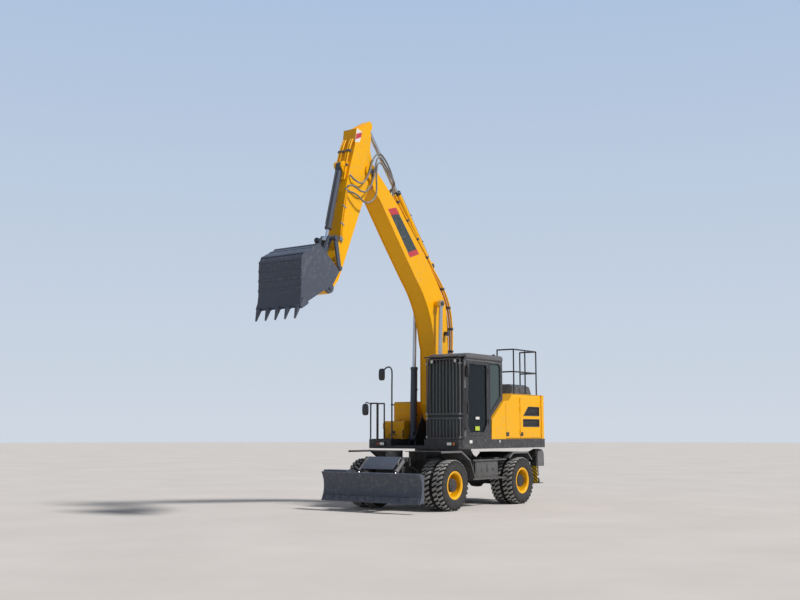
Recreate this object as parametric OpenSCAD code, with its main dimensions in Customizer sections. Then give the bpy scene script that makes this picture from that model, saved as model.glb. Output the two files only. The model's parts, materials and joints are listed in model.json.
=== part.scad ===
// Wheeled excavator: twin-tyred undercarriage with blade and rear outriggers, slewing platform
// with cab and engine house, one-piece boom, stick and bucket.
// Millimetres. +Z up, -Y forward, +X to the machine's left, where the cab is.
// The origin is on the ground under the middle of the machine's overall box.

/* [Running gear] */
// Distance between the front and rear axles
wheelbase = 2850; // [2600:10:3100]
// Radius of a tyre over its lugs
tyre_r = 527.5; // [500:0.5:545]
// Width of one tyre
tyre_w = 278; // [240:1:290]
// Outer face of the outer tyres from the middle
tyre_out = 1265; // [1240:1:1300]
// Gap between twin tyres
twin_gap = 40; // [30:1:60]
// Radius of the rims where the tyres seat
rim_r = 254; // [240:1:265]
// Kingpin from the middle
kingpin_x = 550; // [530:1:560]
// Radius of the axle tubes
axle_tube_r = 95; // [80:1:105]

/* [Chassis] */
// Half width of the chassis beams between the wheels
beam_half = 335; // [300:1:345]
// Half width of the chassis middle under the slewing ring
middle_half = 520; // [460:1:560]
// Top of the chassis
chassis_top = 1120; // [1100:1:1140]
// Front end of the chassis beams, ahead of the slewing axis
chassis_front = 2060; // [2030:1:2080]
// Rear end of the chassis beams, behind the slewing axis
chassis_rear = 2560; // [2520:1:2600]
// Outer radius of the slewing ring
ring_r = 640; // [600:1:680]

/* [Blade and outriggers] */
// Half width of the blade
blade_half = 1270; // [1200:1:1300]
// Height of the blade's top edge
blade_top = 795; // [760:1:800]
// Height of the blade's cutting edge as it travels
blade_low = 215; // [180:1:260]
// Front of the blade ahead of the slewing axis
blade_f = 2760; // [2720:1:2800]
// Outrigger foot's middle from the machine's middle
foot_x = 1100; // [1060:1:1120]
// Underside of the outrigger feet as the machine travels
foot_low = 430; // [400:1:440]

/* [Platform] */
// Half width of the platform
deck_half = 1250; // [1225:1:1260]
// Underside of the platform
deck_low = 1272; // [1268:1:1290]
// Top of the platform's skirts
deck_top = 1475; // [1460:1:1480]
// Front of the platform ahead of the slewing axis
deck_front = 1180; // [1150:1:1200]
// Rear of the counterweight behind the slewing axis
tail = 2750; // [2700:1:2800]
// Top of the engine house
house_top = 2510; // [2480:1:2560]
// Thickness of the service doors
door_t = 16; // [10:1:18]
// Height of the guard rails above the engine house
rail_h = 1040; // [900:1:1100]
// Radius of the rails' tubes
rail_r = 17; // [14:1:22]

/* [Cab] */
// Inner side of the cab from the middle
cab_in = 302; // [300:1:320]
// Outer side of the cab from the middle
cab_out = 1230; // [1210:1:1232]
// Front of the cab ahead of the slewing axis
cab_front = 1060; // [1020:1:1080]
// Rear of the cab behind the slewing axis
cab_rear = 590; // [560:1:600]
// Top of the cab's roof
cab_top = 3300; // [3200:1:3350]
// Thickness of the cab's walls and door
cab_t = 42; // [30:1:50]

/* [Boom] */
// Boom's plane of symmetry from the machine's middle, negative is to the right
boom_x = -150; // [-160:1:-145]
// Boom's foot pin ahead of the slewing axis
boom_foot_f = 80; // [60:1:100]
// Height of the boom's foot pin
boom_foot_z = 2025; // [2000:1:2050]
// Length from the boom's foot pin to its tip pin
boom_len = 5770; // [5600:10:5900]
// Width of the boom's box over its side plates
boom_w = 430; // [420:1:436]
// Angle of the boom above the horizontal, foot pin to tip pin
boom_angle = 62; // [60:0.5:63]
// Radius of the boom cylinders' barrels
boom_barrel_r = 75; // [65:1:77]
// Radius of the boom cylinders' rods
boom_rod_r = 43; // [38:1:48]

/* [Stick] */
// Length from the boom's tip pin to the bucket pin
stick_len = 2950; // [2900:10:3000]
// Width of the stick over its side plates
stick_w = 340; // [330:1:342]
// Angle between the boom and the stick
elbow = 55; // [52:0.5:60]
// Radius of the arm cylinder's barrel
arm_barrel_r = 80; // [70:1:85]
// Radius of the arm cylinder's rod
arm_rod_r = 45; // [40:1:50]
// Radius of the bucket cylinder's barrel
bucket_barrel_r = 62; // [56:1:64]
// Radius of the bucket cylinder's rod
bucket_rod_r = 36; // [32:1:40]

/* [Bucket] */
// Width of the bucket
bucket_w = 1100; // [900:10:1200]
// Length from the bucket pin to the teeth's tips
bucket_reach = 1550; // [1500:5:1600]
// Angle of the teeth below the horizontal
bucket_angle = 30; // [25:0.5:35]
// Number of teeth
tooth_count = 5; // [4:1:6]
// Thickness of the bucket's shell
bucket_t = 24; // [16:1:30]

/* [Hidden] */
$fn = 64;

// Clearances
slack = 0.5; // round a pin in its bore
side_gap = 6; // beside an eye between its ears
seat = 0.3; // between two pieces that rest on each other

// Colours
yellow = "#f2a900";
charcoal = "#35383b";
slate = "#4b5260";
rubber = "#2a2b2d";
chrome = "#c9ccd0";
grey = "#6f7478";
black = "#1d1f21";

// Points here are [forward, up] from the slewing axis on the ground, turned anticlockwise
function turn(p, a) = [p.x * cos(a) - p.y * sin(a), p.x * sin(a) + p.y * cos(a)];
function angle_of(p) = atan2(p.y, p.x);
function arc(c, r, a0, a1, n = 8) =
    [for (i = [0:n]) c + r * [cos(a0 + (a1 - a0) * i / n), sin(a0 + (a1 - a0) * i / n)]];
function moved(points, by) = [for (p = points) p + by];
// Outline given clockwise, moved inwards by d
function unit(v) = v / norm(v);
function inset(points, d) = let (n = len(points)) [for (i = [0:n - 1]) let (
    u = unit(points[i] - points[(i + n - 1) % n]), v = unit(points[(i + 1) % n] - points[i]), w = unit(u + v)
) points[i] + d / (w.x * u.x + w.y * u.y) * [-w.y, w.x]];
function back(points) = [for (i = [len(points) - 1:-1:0]) points[i]];

// Linkage at rest
stick_angle = boom_angle - 180 + elbow;
boom_foot = [boom_foot_f, boom_foot_z];
boom_tip = boom_foot + turn([boom_len, 0], boom_angle);
bucket_pin = boom_tip + turn([stick_len, 0], stick_angle);
reach_f = bucket_pin.x + bucket_reach * cos(bucket_angle);
axis_y = (reach_f - tail) / 2;

// Outline in [forward, up] extruded across the machine from x0 to x1
module slab(x0, x1, points)
    translate([x1, 0, 0]) rotate([90, 0, -90]) linear_extrude(x1 - x0) polygon(points);
// Outline in [left, up] extruded forward from f0 to f1
module section(f0, f1, points)
    translate([0, -f0, 0]) rotate([90, 0, 0]) linear_extrude(f1 - f0) polygon(points);
// Outline in [left, forward] extruded up from z0 to z1
module plan(z0, z1, points)
    translate([0, 0, z0]) mirror([0, 1, 0]) linear_extrude(z1 - z0) polygon(points);
module brick(x0, x1, f0, f1, z0, z1)
    translate([x0, -f1, z0]) cube([x1 - x0, f1 - f0, z1 - z0]);
// Round bar across the machine
module cross(x0, x1, p, r)
    translate([x0, -p.x, p.y]) rotate([0, 90, 0]) cylinder(h = x1 - x0, r = r);
module post(x, f, z0, z1, r)
    translate([x, -f, z0]) cylinder(h = z1 - z0, r = r);
// Round bar fore and aft
module shaft(x, f0, f1, z, r)
    translate([x, -f0, z]) rotate([90, 0, 0]) cylinder(h = f1 - f0, r = r);
// Straight round bar between two points [x, forward, up]
module bar(a, b, r) {
    d = [b.x - a.x, -(b.y - a.y), b.z - a.z];
    translate([a.x, -a.y, a.z]) rotate([0, acos(d.z / norm(d)), atan2(d.y, d.x)])
        cylinder(h = norm(d), r = r, $fn = 32);
}
module ball(p, r) translate([p.x, -p.y, p.z]) sphere(r = r, $fn = 32);
module pair() { children(); mirror([1, 0, 0]) children(); }
module on_axis() translate([0, axis_y, 0]) children();

// Frames of the moving arms: the first coordinate runs along the arm, the second across it
module framed(p, a) translate([0, -p.x, p.y]) rotate([-a, 0, 0]) children();
module in_boom() on_axis() translate([boom_x, 0, 0]) framed(boom_foot, boom_angle) children();
module in_stick() on_axis() translate([boom_x, 0, 0]) framed(boom_tip, stick_angle) children();
module in_bucket() on_axis() translate([boom_x, 0, 0]) framed(bucket_pin, -bucket_angle) children();

// Butt hinge about its own Z: the frame's knuckles and pin, and the knuckle that turns with the door
hinge_r = 11;
hinge_pin_r = 6;
hinge_h = 60;
hinge_off = 12; // from the face that the hinge lies on to its axis
module hinge_fixed(depth = hinge_off + 1) {
    for (z = [-hinge_h / 2 - 26, hinge_h / 2 + 2]) translate([0, 0, z]) {
        cylinder(h = 24, r = hinge_r);
        translate([-depth, 0, 0]) cube([depth, 13, 24]);
    }
    cylinder(h = hinge_h + 50, r = hinge_pin_r, center = true);
}
module hinge_moving() difference() {
    union() {
        translate([0, 0, -hinge_h / 2]) cylinder(h = hinge_h, r = hinge_r);
        translate([-hinge_off - 1, -42, -hinge_h / 2]) cube([8, 42, hinge_h]);
        translate([-hinge_off - 1, -11, -hinge_h / 2]) cube([hinge_off + 1, 11, hinge_h]);
    }
    cylinder(h = hinge_h + 2, r = hinge_pin_r + slack, center = true);
}

// Running gear, each wheel about its own axle along X
// Tyre as rings of points round its axle: the shoulders rise to a lug's crest on each side in turn
lug_count = 26; // on each side of a tyre
lug_depth = 40; // at the shoulder
module tyre() {
    h = tyre_w / 2;
    count = 2 * lug_count;
    turn_by = 360 / count;
    crest = tyre_r / cos(turn_by / 2);
    // Each point of a ring: radius, place along the axle, and how many rings it runs ahead
    function ring(left, right) = [
        [(rim_r + seat) / cos(turn_by / 2), -h + 46, 0], [rim_r + 146, -h, 0], [crest - lug_depth * left, -h + 12 + 6 * left, 1],
        [crest - 5, 0, 0],
        [crest - lug_depth * right, h - 12 - 6 * right, 1], [rim_r + 146, h, 0], [(rim_r + seat) / cos(turn_by / 2), h - 46, 0]
    ];
    points = [for (i = [0:count - 1]) for (p = ring(i % 2, 1 - i % 2)) let (a = (i + 0.5 + p[2]) * turn_by) [p.x * cos(a), p.x * sin(a), p.y]];
    m = len(ring(0, 1));
    polyhedron(points, [
        for (i = [0:count - 1]) for (j = [0:m - 1])
            let (k = (j + 1) % m, here = i * m, next = (i + 1) % count * m)
            each [[here + j, next + j, next + k], [here + j, next + k, here + k]]
    ]);
}
twin_pitch = tyre_w + twin_gap;
twin_x = tyre_out - tyre_w - twin_gap / 2; // middle between the twins
module at_wheel(side, f) on_axis() translate([side * twin_x, -f, tyre_r]) rotate([0, side * 90, 0]) children();
module tyres(side, f) color(rubber) at_wheel(side, f)
    for (k = [-1, 1]) translate([0, 0, k * twin_pitch / 2]) tyre();

rim_t = 14;
hub_r = 150;
spindle_r = 60;
module rims(side, f) color(yellow) at_wheel(side, f) {
    half = tyre_w / 2 - 44;
    end = twin_pitch / 2 + half;
    rotate_extrude() polygon([
        [hub_r - 20, -16], [hub_r - 20, 16], [rim_r - 54, 16], [rim_r - 34, 46], [rim_r - rim_t, 60],
        [rim_r - rim_t, end], [rim_r + 2, end + 20], [rim_r + 22, end + 20], [rim_r + 22, end + 8],
        [rim_r, end - 1], [rim_r, -end + 1], [rim_r + 22, -end - 8], [rim_r + 22, -end - 20],
        [rim_r + 2, -end - 20], [rim_r - rim_t, -end], [rim_r - rim_t, -60], [rim_r - 34, -46],
        [rim_r - 54, -16]
    ]);
    // planetary hub
    difference() {
        rotate_extrude() polygon([
            [0, -150], [hub_r - 35, -150], [hub_r - 35, -seat], [hub_r - 20 - seat, -seat],
            [hub_r - 20 - seat, 16 + seat], [hub_r, 16 + seat], [hub_r, 120], [hub_r - 30, 150],
            [60, 158], [0, 158]
        ]);
        translate([0, 0, -151]) cylinder(h = 111, r = spindle_r + slack);
    }
}

axle_f = wheelbase / 2;
yoke = [400, kingpin_x + 62]; // inner and outer end of the kingpin yoke
ear_low = 100;
ear_high = 148;
module axle_beam(half) {
    cross(-half, half, [0, tyre_r], axle_tube_r);
    translate([0, 0, tyre_r]) rotate([0, 90, 0]) rotate_extrude()
        polygon([[0, -190], [axle_tube_r, -190], [165, -110], [175, 0], [165, 110], [axle_tube_r, 190], [0, 190]]);
}
module front_axle() color(charcoal) on_axis() translate([0, -axle_f, 0]) {
    axle_beam(yoke[0] + 20);
    pair() {
        brick(yoke[0], yoke[0] + 42, -72, 72, tyre_r - ear_high, tyre_r + ear_high);
        for (s = [-1, 1]) {
            z = tyre_r + s * (ear_low + ear_high) / 2;
            brick(yoke[0] + 42, yoke[1], -72, 72, z - (ear_high - ear_low) / 2, z + (ear_high - ear_low) / 2);
            post(kingpin_x, 0, tyre_r + (s > 0 ? 60 : -ear_high - 16), tyre_r + (s > 0 ? ear_high + 16 : -60), 26);
        }
    }
    // saddle under the chassis, on which the axle rocks
    brick(-120, 120, -150, 150, tyre_r + 150, chassis_arch - seat);
    brick(-60, 60, -110, 110, tyre_r, tyre_r + 151);
}
module knuckle(side) color(charcoal) on_axis() translate([side * kingpin_x, -axle_f, tyre_r]) mirror([side < 0 ? 1 : 0, 0, 0]) {
    difference() {
        union() {
            translate([0, 0, -ear_low + 5]) cylinder(h = 2 * ear_low - 10, r = 74);
            cross(0, twin_x - kingpin_x - 42, [0, 0], spindle_r);
            brick(-30, 30, 60, 215, -20, 20);
            post(0, 200, -20, 20, 38);
        }
        for (s = [-1, 1]) translate([0, 0, s > 0 ? 60 - slack : -ear_low]) cylinder(h = ear_low - 60 + slack, r = 26 + slack);
    }
}
module knuckle_left() knuckle(1);
module knuckle_right() knuckle(-1);
tie_half = kingpin_x - 5;
module tie_rod() color(grey) on_axis() translate([0, -axle_f - 200, tyre_r + 20 + seat + 23]) {
    rotate([0, 90, 0]) cylinder(h = 2 * tie_half - 60, r = 21, center = true);
    pair() translate([tie_half, 0, -23]) cylinder(h = 46, r = 36);
}
module rear_axle() color(charcoal) on_axis() translate([0, axle_f, 0]) {
    axle_beam(twin_x - 200);
    pair() {
        cross(twin_x - 200, twin_x - 42, [0, tyre_r], spindle_r);
        brick(150, 320, -95, 95, tyre_r + 80, chassis_arch - seat);
    }
}
module prop_shaft() color(charcoal) on_axis() {
    end = axle_f - 176;
    shaft(0, -end, end, tyre_r + 8, 32);
    for (f = [-end, end - 60]) shaft(0, f, f + 60, tyre_r + 8, 58);
    brick(-150, 150, -230, 170, tyre_r - 90, 600 - seat);
}

module tyres_front_left() tyres(1, axle_f);
module tyres_front_right() tyres(-1, axle_f);
module tyres_rear_left() tyres(1, -axle_f);
module tyres_rear_right() tyres(-1, -axle_f);
module rims_front_left() rims(1, axle_f);
module rims_front_right() rims(-1, axle_f);
module rims_rear_left() rims(1, -axle_f);
module rims_rear_right() rims(-1, -axle_f);

// Chassis
chassis_arch = 725; // underside of the beams over the axles
// Height of the beams' top at a distance ahead of the slewing axis
function beam_top(f) = f > 700 ? chassis_top - 40 - (f - 700) * (chassis_top - 1040) / (chassis_front - 700)
    : chassis_top - 40 - (700 - f) * (chassis_top - 1040) / (700 + chassis_rear - 40);
chassis_floor = 600;
blade_pivot = [chassis_front - 30, 480];
blade_head = [chassis_front + 90, 1075]; // top pins of the blade cylinders
arm_half = 300; // middle of each blade arm
blade_cyl_x = 475;
leg_pivot_x = 200;
leg_pivot_z = 660;
leg_head_z = 1190;
leg_f = -2350;
tie_eye_r = 28;
tow_f = -chassis_rear - 78;
tow_r = 26;
module chassis() color(charcoal) on_axis() {
    chassis_body();
    // pins of the outriggers and of their cylinders
    pair() {
        shaft(foot_x, leg_f - 118, leg_f + 118, leg_head_z, 25);
        shaft(leg_pivot_x, leg_f - 118, leg_f + 118, leg_pivot_z, 30);
    }
}
module chassis_body() difference() {
    union() {
        slab(-beam_half, beam_half, [
            [chassis_front, 560], [chassis_front, beam_top(chassis_front)], [700, beam_top(700)],
            [-chassis_rear + 40, beam_top(40 - chassis_rear)],
            [-chassis_rear, 960], [-chassis_rear, 600], [-1900, 600], [-1760, chassis_arch],
            [-axle_f + 320, chassis_arch], [-900, chassis_floor], [760, chassis_floor],
            [axle_f - 330, chassis_arch], [1800, chassis_arch], [1890, 560]
        ]);
        brick(-middle_half, middle_half, -760, 560, chassis_floor, chassis_top - 60);
        post(0, 0, chassis_top - 110, chassis_top, ring_r - 20);
        // head that carries the blade cylinders and the cover plate
        brick(-560, 560, chassis_front, chassis_front + 40, 930, 1110);
        pair() {
            slab(blade_cyl_x - 58, blade_cyl_x - 36, cyl_ear);
            slab(blade_cyl_x + 36, blade_cyl_x + 58, cyl_ear);
            cross(blade_cyl_x - 58, blade_cyl_x + 58, blade_head, 22);
            // ears of the blade's arms
            slab(arm_half - 62, arm_half - 36, arm_ear);
            slab(arm_half + 36, arm_half + 62, arm_ear);
            cross(arm_half - 62, arm_half + 62, blade_pivot, 28);
        }
        slab(-400, 400, [
            [chassis_front + 40, 1110], [chassis_front + 130, 1110], [chassis_front + 370, 900],
            [chassis_front + 362, 892], [chassis_front + 126, 1096], [chassis_front + 40, 1096]
        ]);
        // rear crossbeam, whose ends hold the outriggers' cylinders
        brick(-620, 620, leg_f - 110, leg_f + 110, 760, 1000);
        pair() {
            section(leg_f - 110, leg_f - 62, leg_bracket);
            section(leg_f + 62, leg_f + 110, leg_bracket);
            section(leg_f - 110, leg_f - 50, leg_ear);
            section(leg_f + 50, leg_f + 110, leg_ear);
        }
    }
    // slots in which the outriggers swing
    pair() brick(leg_pivot_x - 80, beam_half + 1, leg_f - 50, leg_f + 50, 580, 759);
}
cyl_ear = concat([[chassis_front + 30, 1010], [chassis_front + 30, 1110]], arc(blade_head, 44, 90, -60));
arm_ear = concat([[1900, 620], [chassis_front - 10, 620]], arc(blade_pivot, 58, 20, -160));
leg_bracket = concat([[560, 990], [560, 770], [700, 770]], arc([foot_x, leg_head_z], 50, -45, 135));
leg_ear = concat([[leg_pivot_x - 90, 770], [leg_pivot_x + 90, 770]], arc([leg_pivot_x, leg_pivot_z], 60, 10, -190));

// Lashing eyes on the sides of the middle, towing jaw on the rear end
module tie_points() color(charcoal) on_axis() {
    pair() difference() {
        section(-700, -670, [
            [middle_half + seat, 660], [middle_half + 60, 660], [middle_half + 85, 685], [middle_half + 85, 760],
            [middle_half + seat, 810]
        ]);
        translate([middle_half + 42, 685, 722]) rotate([90, 0, 0]) cylinder(h = 60, r = tie_eye_r, center = true);
    }
    difference() {
        union() {
            brick(-100, 100, -chassis_rear - 20, -chassis_rear - seat, 650, 910);
            for (z = [690, 830]) plan(z, z + 40, concat(
                [[-80, -chassis_rear - 19], [-62, tow_f]], arc([0, tow_f], 62, 190, 350, 10), [[62, tow_f], [80, -chassis_rear - 19]]
            ));
        }
        post(0, tow_f, 680, 880, tow_r);
    }
}

module slew_ring() color(grey) on_axis() translate([0, 0, chassis_top + seat]) difference() {
    cylinder(h = deck_low - chassis_top - 2 * seat, r = ring_r);
    translate([0, 0, -1]) cylinder(h = 300, r = ring_r - 110);
    translate([0, 0, 60]) rotate_extrude() translate([ring_r - 14, 0]) square([30, 14]);
}

fender_t = 12;
module fenders() color(charcoal) on_axis() pair() {
    x1 = deck_half - 35;
    top = [[axle_f + 475, 1220], [axle_f - 305, 1220], [axle_f - 645, 1034], [axle_f - 845, 650]];
    slab(560, x1, concat(top, back(moved(top, [6, fender_t]))));
    slab(beam_half - 40, 560, concat([top[0], top[1]], back(moved([top[0], top[1]], [6, fender_t]))));
    slab(beam_half - 40, beam_half, [[1750, beam_top(1750) + seat], [1150, beam_top(1150) + seat], [1150, 1232], [1750, 1232]]);
    rear = [[-885, 1050], [-1078, 1168], [-1740, 1168], [-1925, 1000]];
    slab(beam_half + seat, x1, concat(rear, back(moved(rear, [0, fender_t]))));
    slab(beam_half - 40, x1, concat([rear[1], rear[2]], back(moved([rear[1], rear[2]], [0, fender_t]))));
    slab(beam_half - 40, beam_half, [[-1150, beam_top(-1150) + seat], [-1700, beam_top(-1700) + seat], [-1700, 1180], [-1150, 1180]]);
}
module side_lockers() color(grey) on_axis() pair() {
    brick(middle_half + seat, 1125, -520, 430, 640, 1005);
    for (z = [604, 1008]) brick(1090, 1160, -850, 560, z, z + 30);
    brick(middle_half + seat, 1090, -560, -524, 604, 1038);
    brick(middle_half + seat, 1090, 440, 476, 604, 1038);
}

// Blade: everything is set from the pivot, the top edge and the cutting edge
blade_mid = (blade_top + blade_low) / 2;
blade_hollow = 85;
blade_chord = blade_top - blade_low;
blade_r = (blade_chord * blade_chord / 4 + blade_hollow * blade_hollow) / (2 * blade_hollow);
blade_c = [blade_f - 10 + blade_r - blade_hollow, blade_mid];
blade_spread = asin(blade_chord / 2 / blade_r);
blade_lug = [2520, 755];
module blade() color(slate) on_axis() {
    face = arc(blade_c, blade_r, 180 - blade_spread, 180 + blade_spread, 14);
    rear = arc(blade_c, blade_r + 26, 180 + blade_spread, 180 - blade_spread, 14);
    difference() {
        union() {
            slab(-blade_half, blade_half, concat(face, rear));
            pair() slab(blade_half - 22, blade_half, concat(face, [[blade_f - 170, blade_low + 20], [blade_f - 170, blade_top - 20]]));
            // bolted cutting edge
            slab(-blade_half + 30, blade_half - 30, [
                [blade_f - 42, blade_low + 110], [blade_f - 20, blade_low + 110], [blade_f + 8, blade_low - 12],
                [blade_f - 16, blade_low - 12]
            ]);
            // closed stiffener along the back
            slab(-blade_half + 60, blade_half - 60, [
                [blade_f - 100, blade_mid + 130], [blade_f - 190, blade_mid + 80], [blade_f - 190, blade_mid - 110],
                [blade_f - 95, blade_mid - 160]
            ]);
            pair() {
                slab(arm_half - 30, arm_half + 30, concat(
                    arc(blade_pivot, 62, 110, 250),
                    [[blade_f - 180, blade_mid - 120], [blade_f - 180, blade_mid + 90]]
                ));
                for (x = [blade_cyl_x - 28 - seat - 24, blade_cyl_x + 28 + seat])
                    slab(x, x + 24, concat([[blade_f - 100, blade_mid + 60], [blade_f - 100, blade_mid + 230]], arc(blade_lug, 42, 80, 250)));
            }
            cross(-arm_half, arm_half, [blade_pivot.x + 300, blade_pivot.y + 15], 55);
            // step behind the right end
            brick(-blade_half + 20, -blade_half / 2, blade_f - 270, blade_f - 60, blade_top + 2, blade_top + 48);
            slab(-blade_half / 2 - 30, -blade_half / 2 - 10, [[blade_f - 250, blade_top + 10], [blade_f - 150, blade_mid], [blade_f - 60, blade_top + 10]]);
            slab(-blade_half + 30, -blade_half + 50, [[blade_f - 250, blade_top + 10], [blade_f - 150, blade_mid], [blade_f - 60, blade_top + 10]]);
        }
        cross(-arm_half - 31, arm_half + 31, blade_pivot, 28 + slack);
    }
}

// A cylinder's barrel and rod, drawn along the first coordinate of a frame at its base pin
module barrel(r, eye_r, eye_w, pin_r, start, end, bore_r, bore_start) difference() {
    union() {
        cross(-eye_w / 2, eye_w / 2, [0, 0], eye_r);
        slab(-eye_w / 2, eye_w / 2, [[0, -eye_r * 0.8], [0, eye_r * 0.8], [start + 20, r * 0.9], [start + 20, -r * 0.9]]);
        shaft(0, start, end, 0, r);
        shaft(0, end - 60, end, 0, r + 8);
    }
    shaft(0, bore_start, end + 1, 0, bore_r);
    cross(-eye_w / 2 - 1, eye_w / 2 + 1, [0, 0], pin_r + slack);
}
module rod(r, inner, length, eye_r, eye_w) {
    shaft(0, inner, length - eye_r * 0.6, 0, r);
    cross(-eye_w / 2, eye_w / 2, [length, 0], eye_r);
}

blade_ram = blade_lug - blade_head;
module blade_cylinder() on_axis() for (x = [-blade_cyl_x, blade_cyl_x])
    translate([x, 0, 0]) framed(blade_head, angle_of(blade_ram)) children();
module blade_barrels() color(grey) blade_cylinder() barrel(44, 40, 60, 22, 70, norm(blade_ram) - 80, 26, 92);
module blade_rods() color(chrome) blade_cylinder() rod(25, 124, norm(blade_ram), 36, 56);

// Outriggers: each leg swings down about a fore-and-aft pin near the middle
leg_pin = [foot_x, foot_low + 75];
module outrigger(side) color(charcoal) on_axis() mirror([side < 0 ? 1 : 0, 0, 0]) difference() {
    union() {
        section(leg_f - 44, leg_f + 44, concat(
            arc([leg_pivot_x, leg_pivot_z], 72, 70, 250),
            [[foot_x - 160, foot_low + 30], [foot_x - 90, foot_low + 30]],
            [[foot_x - 90, foot_low + 165]]
        ));
        // fork and foot
        for (f = [leg_f - 33 - seat - 32, leg_f + 33 + seat]) section(f, f + 32, concat(
            [[foot_x - 210, foot_low + 70], [foot_x - 190, foot_low + 14], [foot_x + 60, foot_low + 14]], arc(leg_pin, 52, -20, 120),
            [[foot_x - 150, foot_low + 170]]
        ));
        brick(foot_x - 200, foot_x + 120, leg_f - 120, leg_f + 150, foot_low, foot_low + 16);
        // striped guard on the foot's front, facing the wheel
        slab(foot_x - 50, foot_x + 110, [
            [leg_f + 130, foot_low + 14], [leg_f + 150, foot_low + 14], [leg_f + 215, foot_low + 560], [leg_f + 185, foot_low + 640],
            [leg_f + 165, foot_low + 640], [leg_f + 190, foot_low + 560]
        ]);
    }
    shaft(leg_pivot_x, leg_f - 50, leg_f + 50, leg_pivot_z, 30 + slack);
}
leg_ram = [foot_x, leg_head_z] - leg_pin;
leg_ram_len = norm(leg_ram);
module leg_cylinder(side) on_axis() translate([side * foot_x, -leg_f, leg_head_z]) rotate([0, 0, 90])
    framed([0, 0], -90) children();
module outrigger_barrel(side) color(grey) leg_cylinder(side) barrel(56, 48, 112, 25, 80, leg_ram_len - 100, 31, 58);
module outrigger_rod(side) color(chrome) leg_cylinder(side) rod(30, 93, leg_ram_len, 36, 66);
module outrigger_left() outrigger(1);
module outrigger_right() outrigger(-1);
module outrigger_barrel_left() outrigger_barrel(1);
module outrigger_barrel_right() outrigger_barrel(-1);
module outrigger_rod_left() outrigger_rod(1);
module outrigger_rod_right() outrigger_rod(-1);

// Platform: a thick base plate with boxes under the cab, the right side and the tail
plate_top = deck_low + 66;
boom_eye = [2340, 920]; // rods' pin in the boom's frame
boom_base = [460, 1500]; // barrels' pins
ram_x = 355; // middle of each boom cylinder from the boom's plane
ram_eye_w = 90;
ear_in = boom_w / 2 + 27;
ear_out = ear_in + 30;
tail_side = tail - 170;
function tail_arc(r, x) = arc([0, r - tail], r, -90 - asin(x / r), -90 + asin(x / r), 14);
tail_plan = concat(
    [[-deck_half, -2405]],
    [[-deck_half, -tail_side + 60], [-deck_half + 60, -tail_side]],
    tail_arc(4200, deck_half - 130),
    [[deck_half - 60, -tail_side], [deck_half, -tail_side + 60], [deck_half, -2405]]
);
module platform() color(charcoal) on_axis() {
    difference() {
        union() {
            plan(deck_low, plate_top, concat(tail_plan, [[deck_half, deck_front - 60], [deck_half - 60, deck_front], [-deck_half + 60, deck_front], [-deck_half, deck_front - 60]]));
            plan(deck_low, deck_top, [
                [cab_in - 6, deck_front], [deck_half - 60, deck_front], [deck_half, deck_front - 60], [deck_half, -2405],
                [cab_in - 6, -2405]
            ]);
            plan(deck_low, deck_top, [
                [-600, deck_front], [-deck_half + 60, deck_front], [-deck_half, deck_front - 60], [-deck_half, -2405],
                [-600, -2405]
            ]);
            plan(deck_low, deck_top, tail_plan);
        }
        // rounded lower edge at the tail
        slab(-deck_half - 1, deck_half + 1, [[-tail_side + 40, deck_low - 1], [-tail - 40, deck_low - 1], [-tail - 40, deck_low + 150]]);
    }
    // ears of the boom's foot and of its cylinders
    foot_ear = concat(
        [[-420, plate_top - 1], [boom_base.x + 60, plate_top - 1]],
        arc(boom_base, 78, -45, 60), arc(boom_foot, 112, 35, 175), [[-300, 1560]]
    );
    ram_ear = concat([[boom_base.x - 190, plate_top - 1], [boom_base.x + 60, plate_top - 1]], arc(boom_base, 74, -30, 170));
    translate([boom_x, 0, 0]) pair() {
        slab(ear_in, ear_out, foot_ear);
        slab(ram_x + ram_eye_w / 2 + side_gap, ram_x + ram_eye_w / 2 + side_gap + 30, ram_ear);
        cross(ear_out - 1, ram_x - ram_eye_w / 2 - side_gap, boom_base, 68);
        cross(ear_out - 1, ram_x + ram_eye_w / 2 + side_gap + 34, boom_base, 42);
        cross(ear_out - 1, ear_out + 14, boom_foot, 80);
    }
    translate([boom_x, 0, 0]) {
        cross(-ear_in - 1, ear_in + 1, boom_foot, 50);
        brick(-ear_in - 1, ear_in + 1, -420, -380, plate_top - 1, 1700);
    }
}

// Counterweight on the tail
module counterweight() color(yellow) on_axis() intersection() {
    plan(deck_top + seat, house_top - 4, [for (p = tail_plan) [p.x * (deck_half - 14) / deck_half, p.y]]);
    slab(-deck_half, deck_half, concat(
        [[-house_back - seat, deck_top], [-tail - 10, deck_top], [-tail - 10, house_top - 320]],
        arc([-tail + 220, house_top - 214], 210, 180, 100, 8),
        [[-house_back - seat, house_top - 4]]
    ));
}

// Engine with its cooler, one plain block across the tail
module engine() color(grey) on_axis()
    brick(-520, 620, -2120, -1460, deck_top + seat, deck_top + 760);

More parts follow.
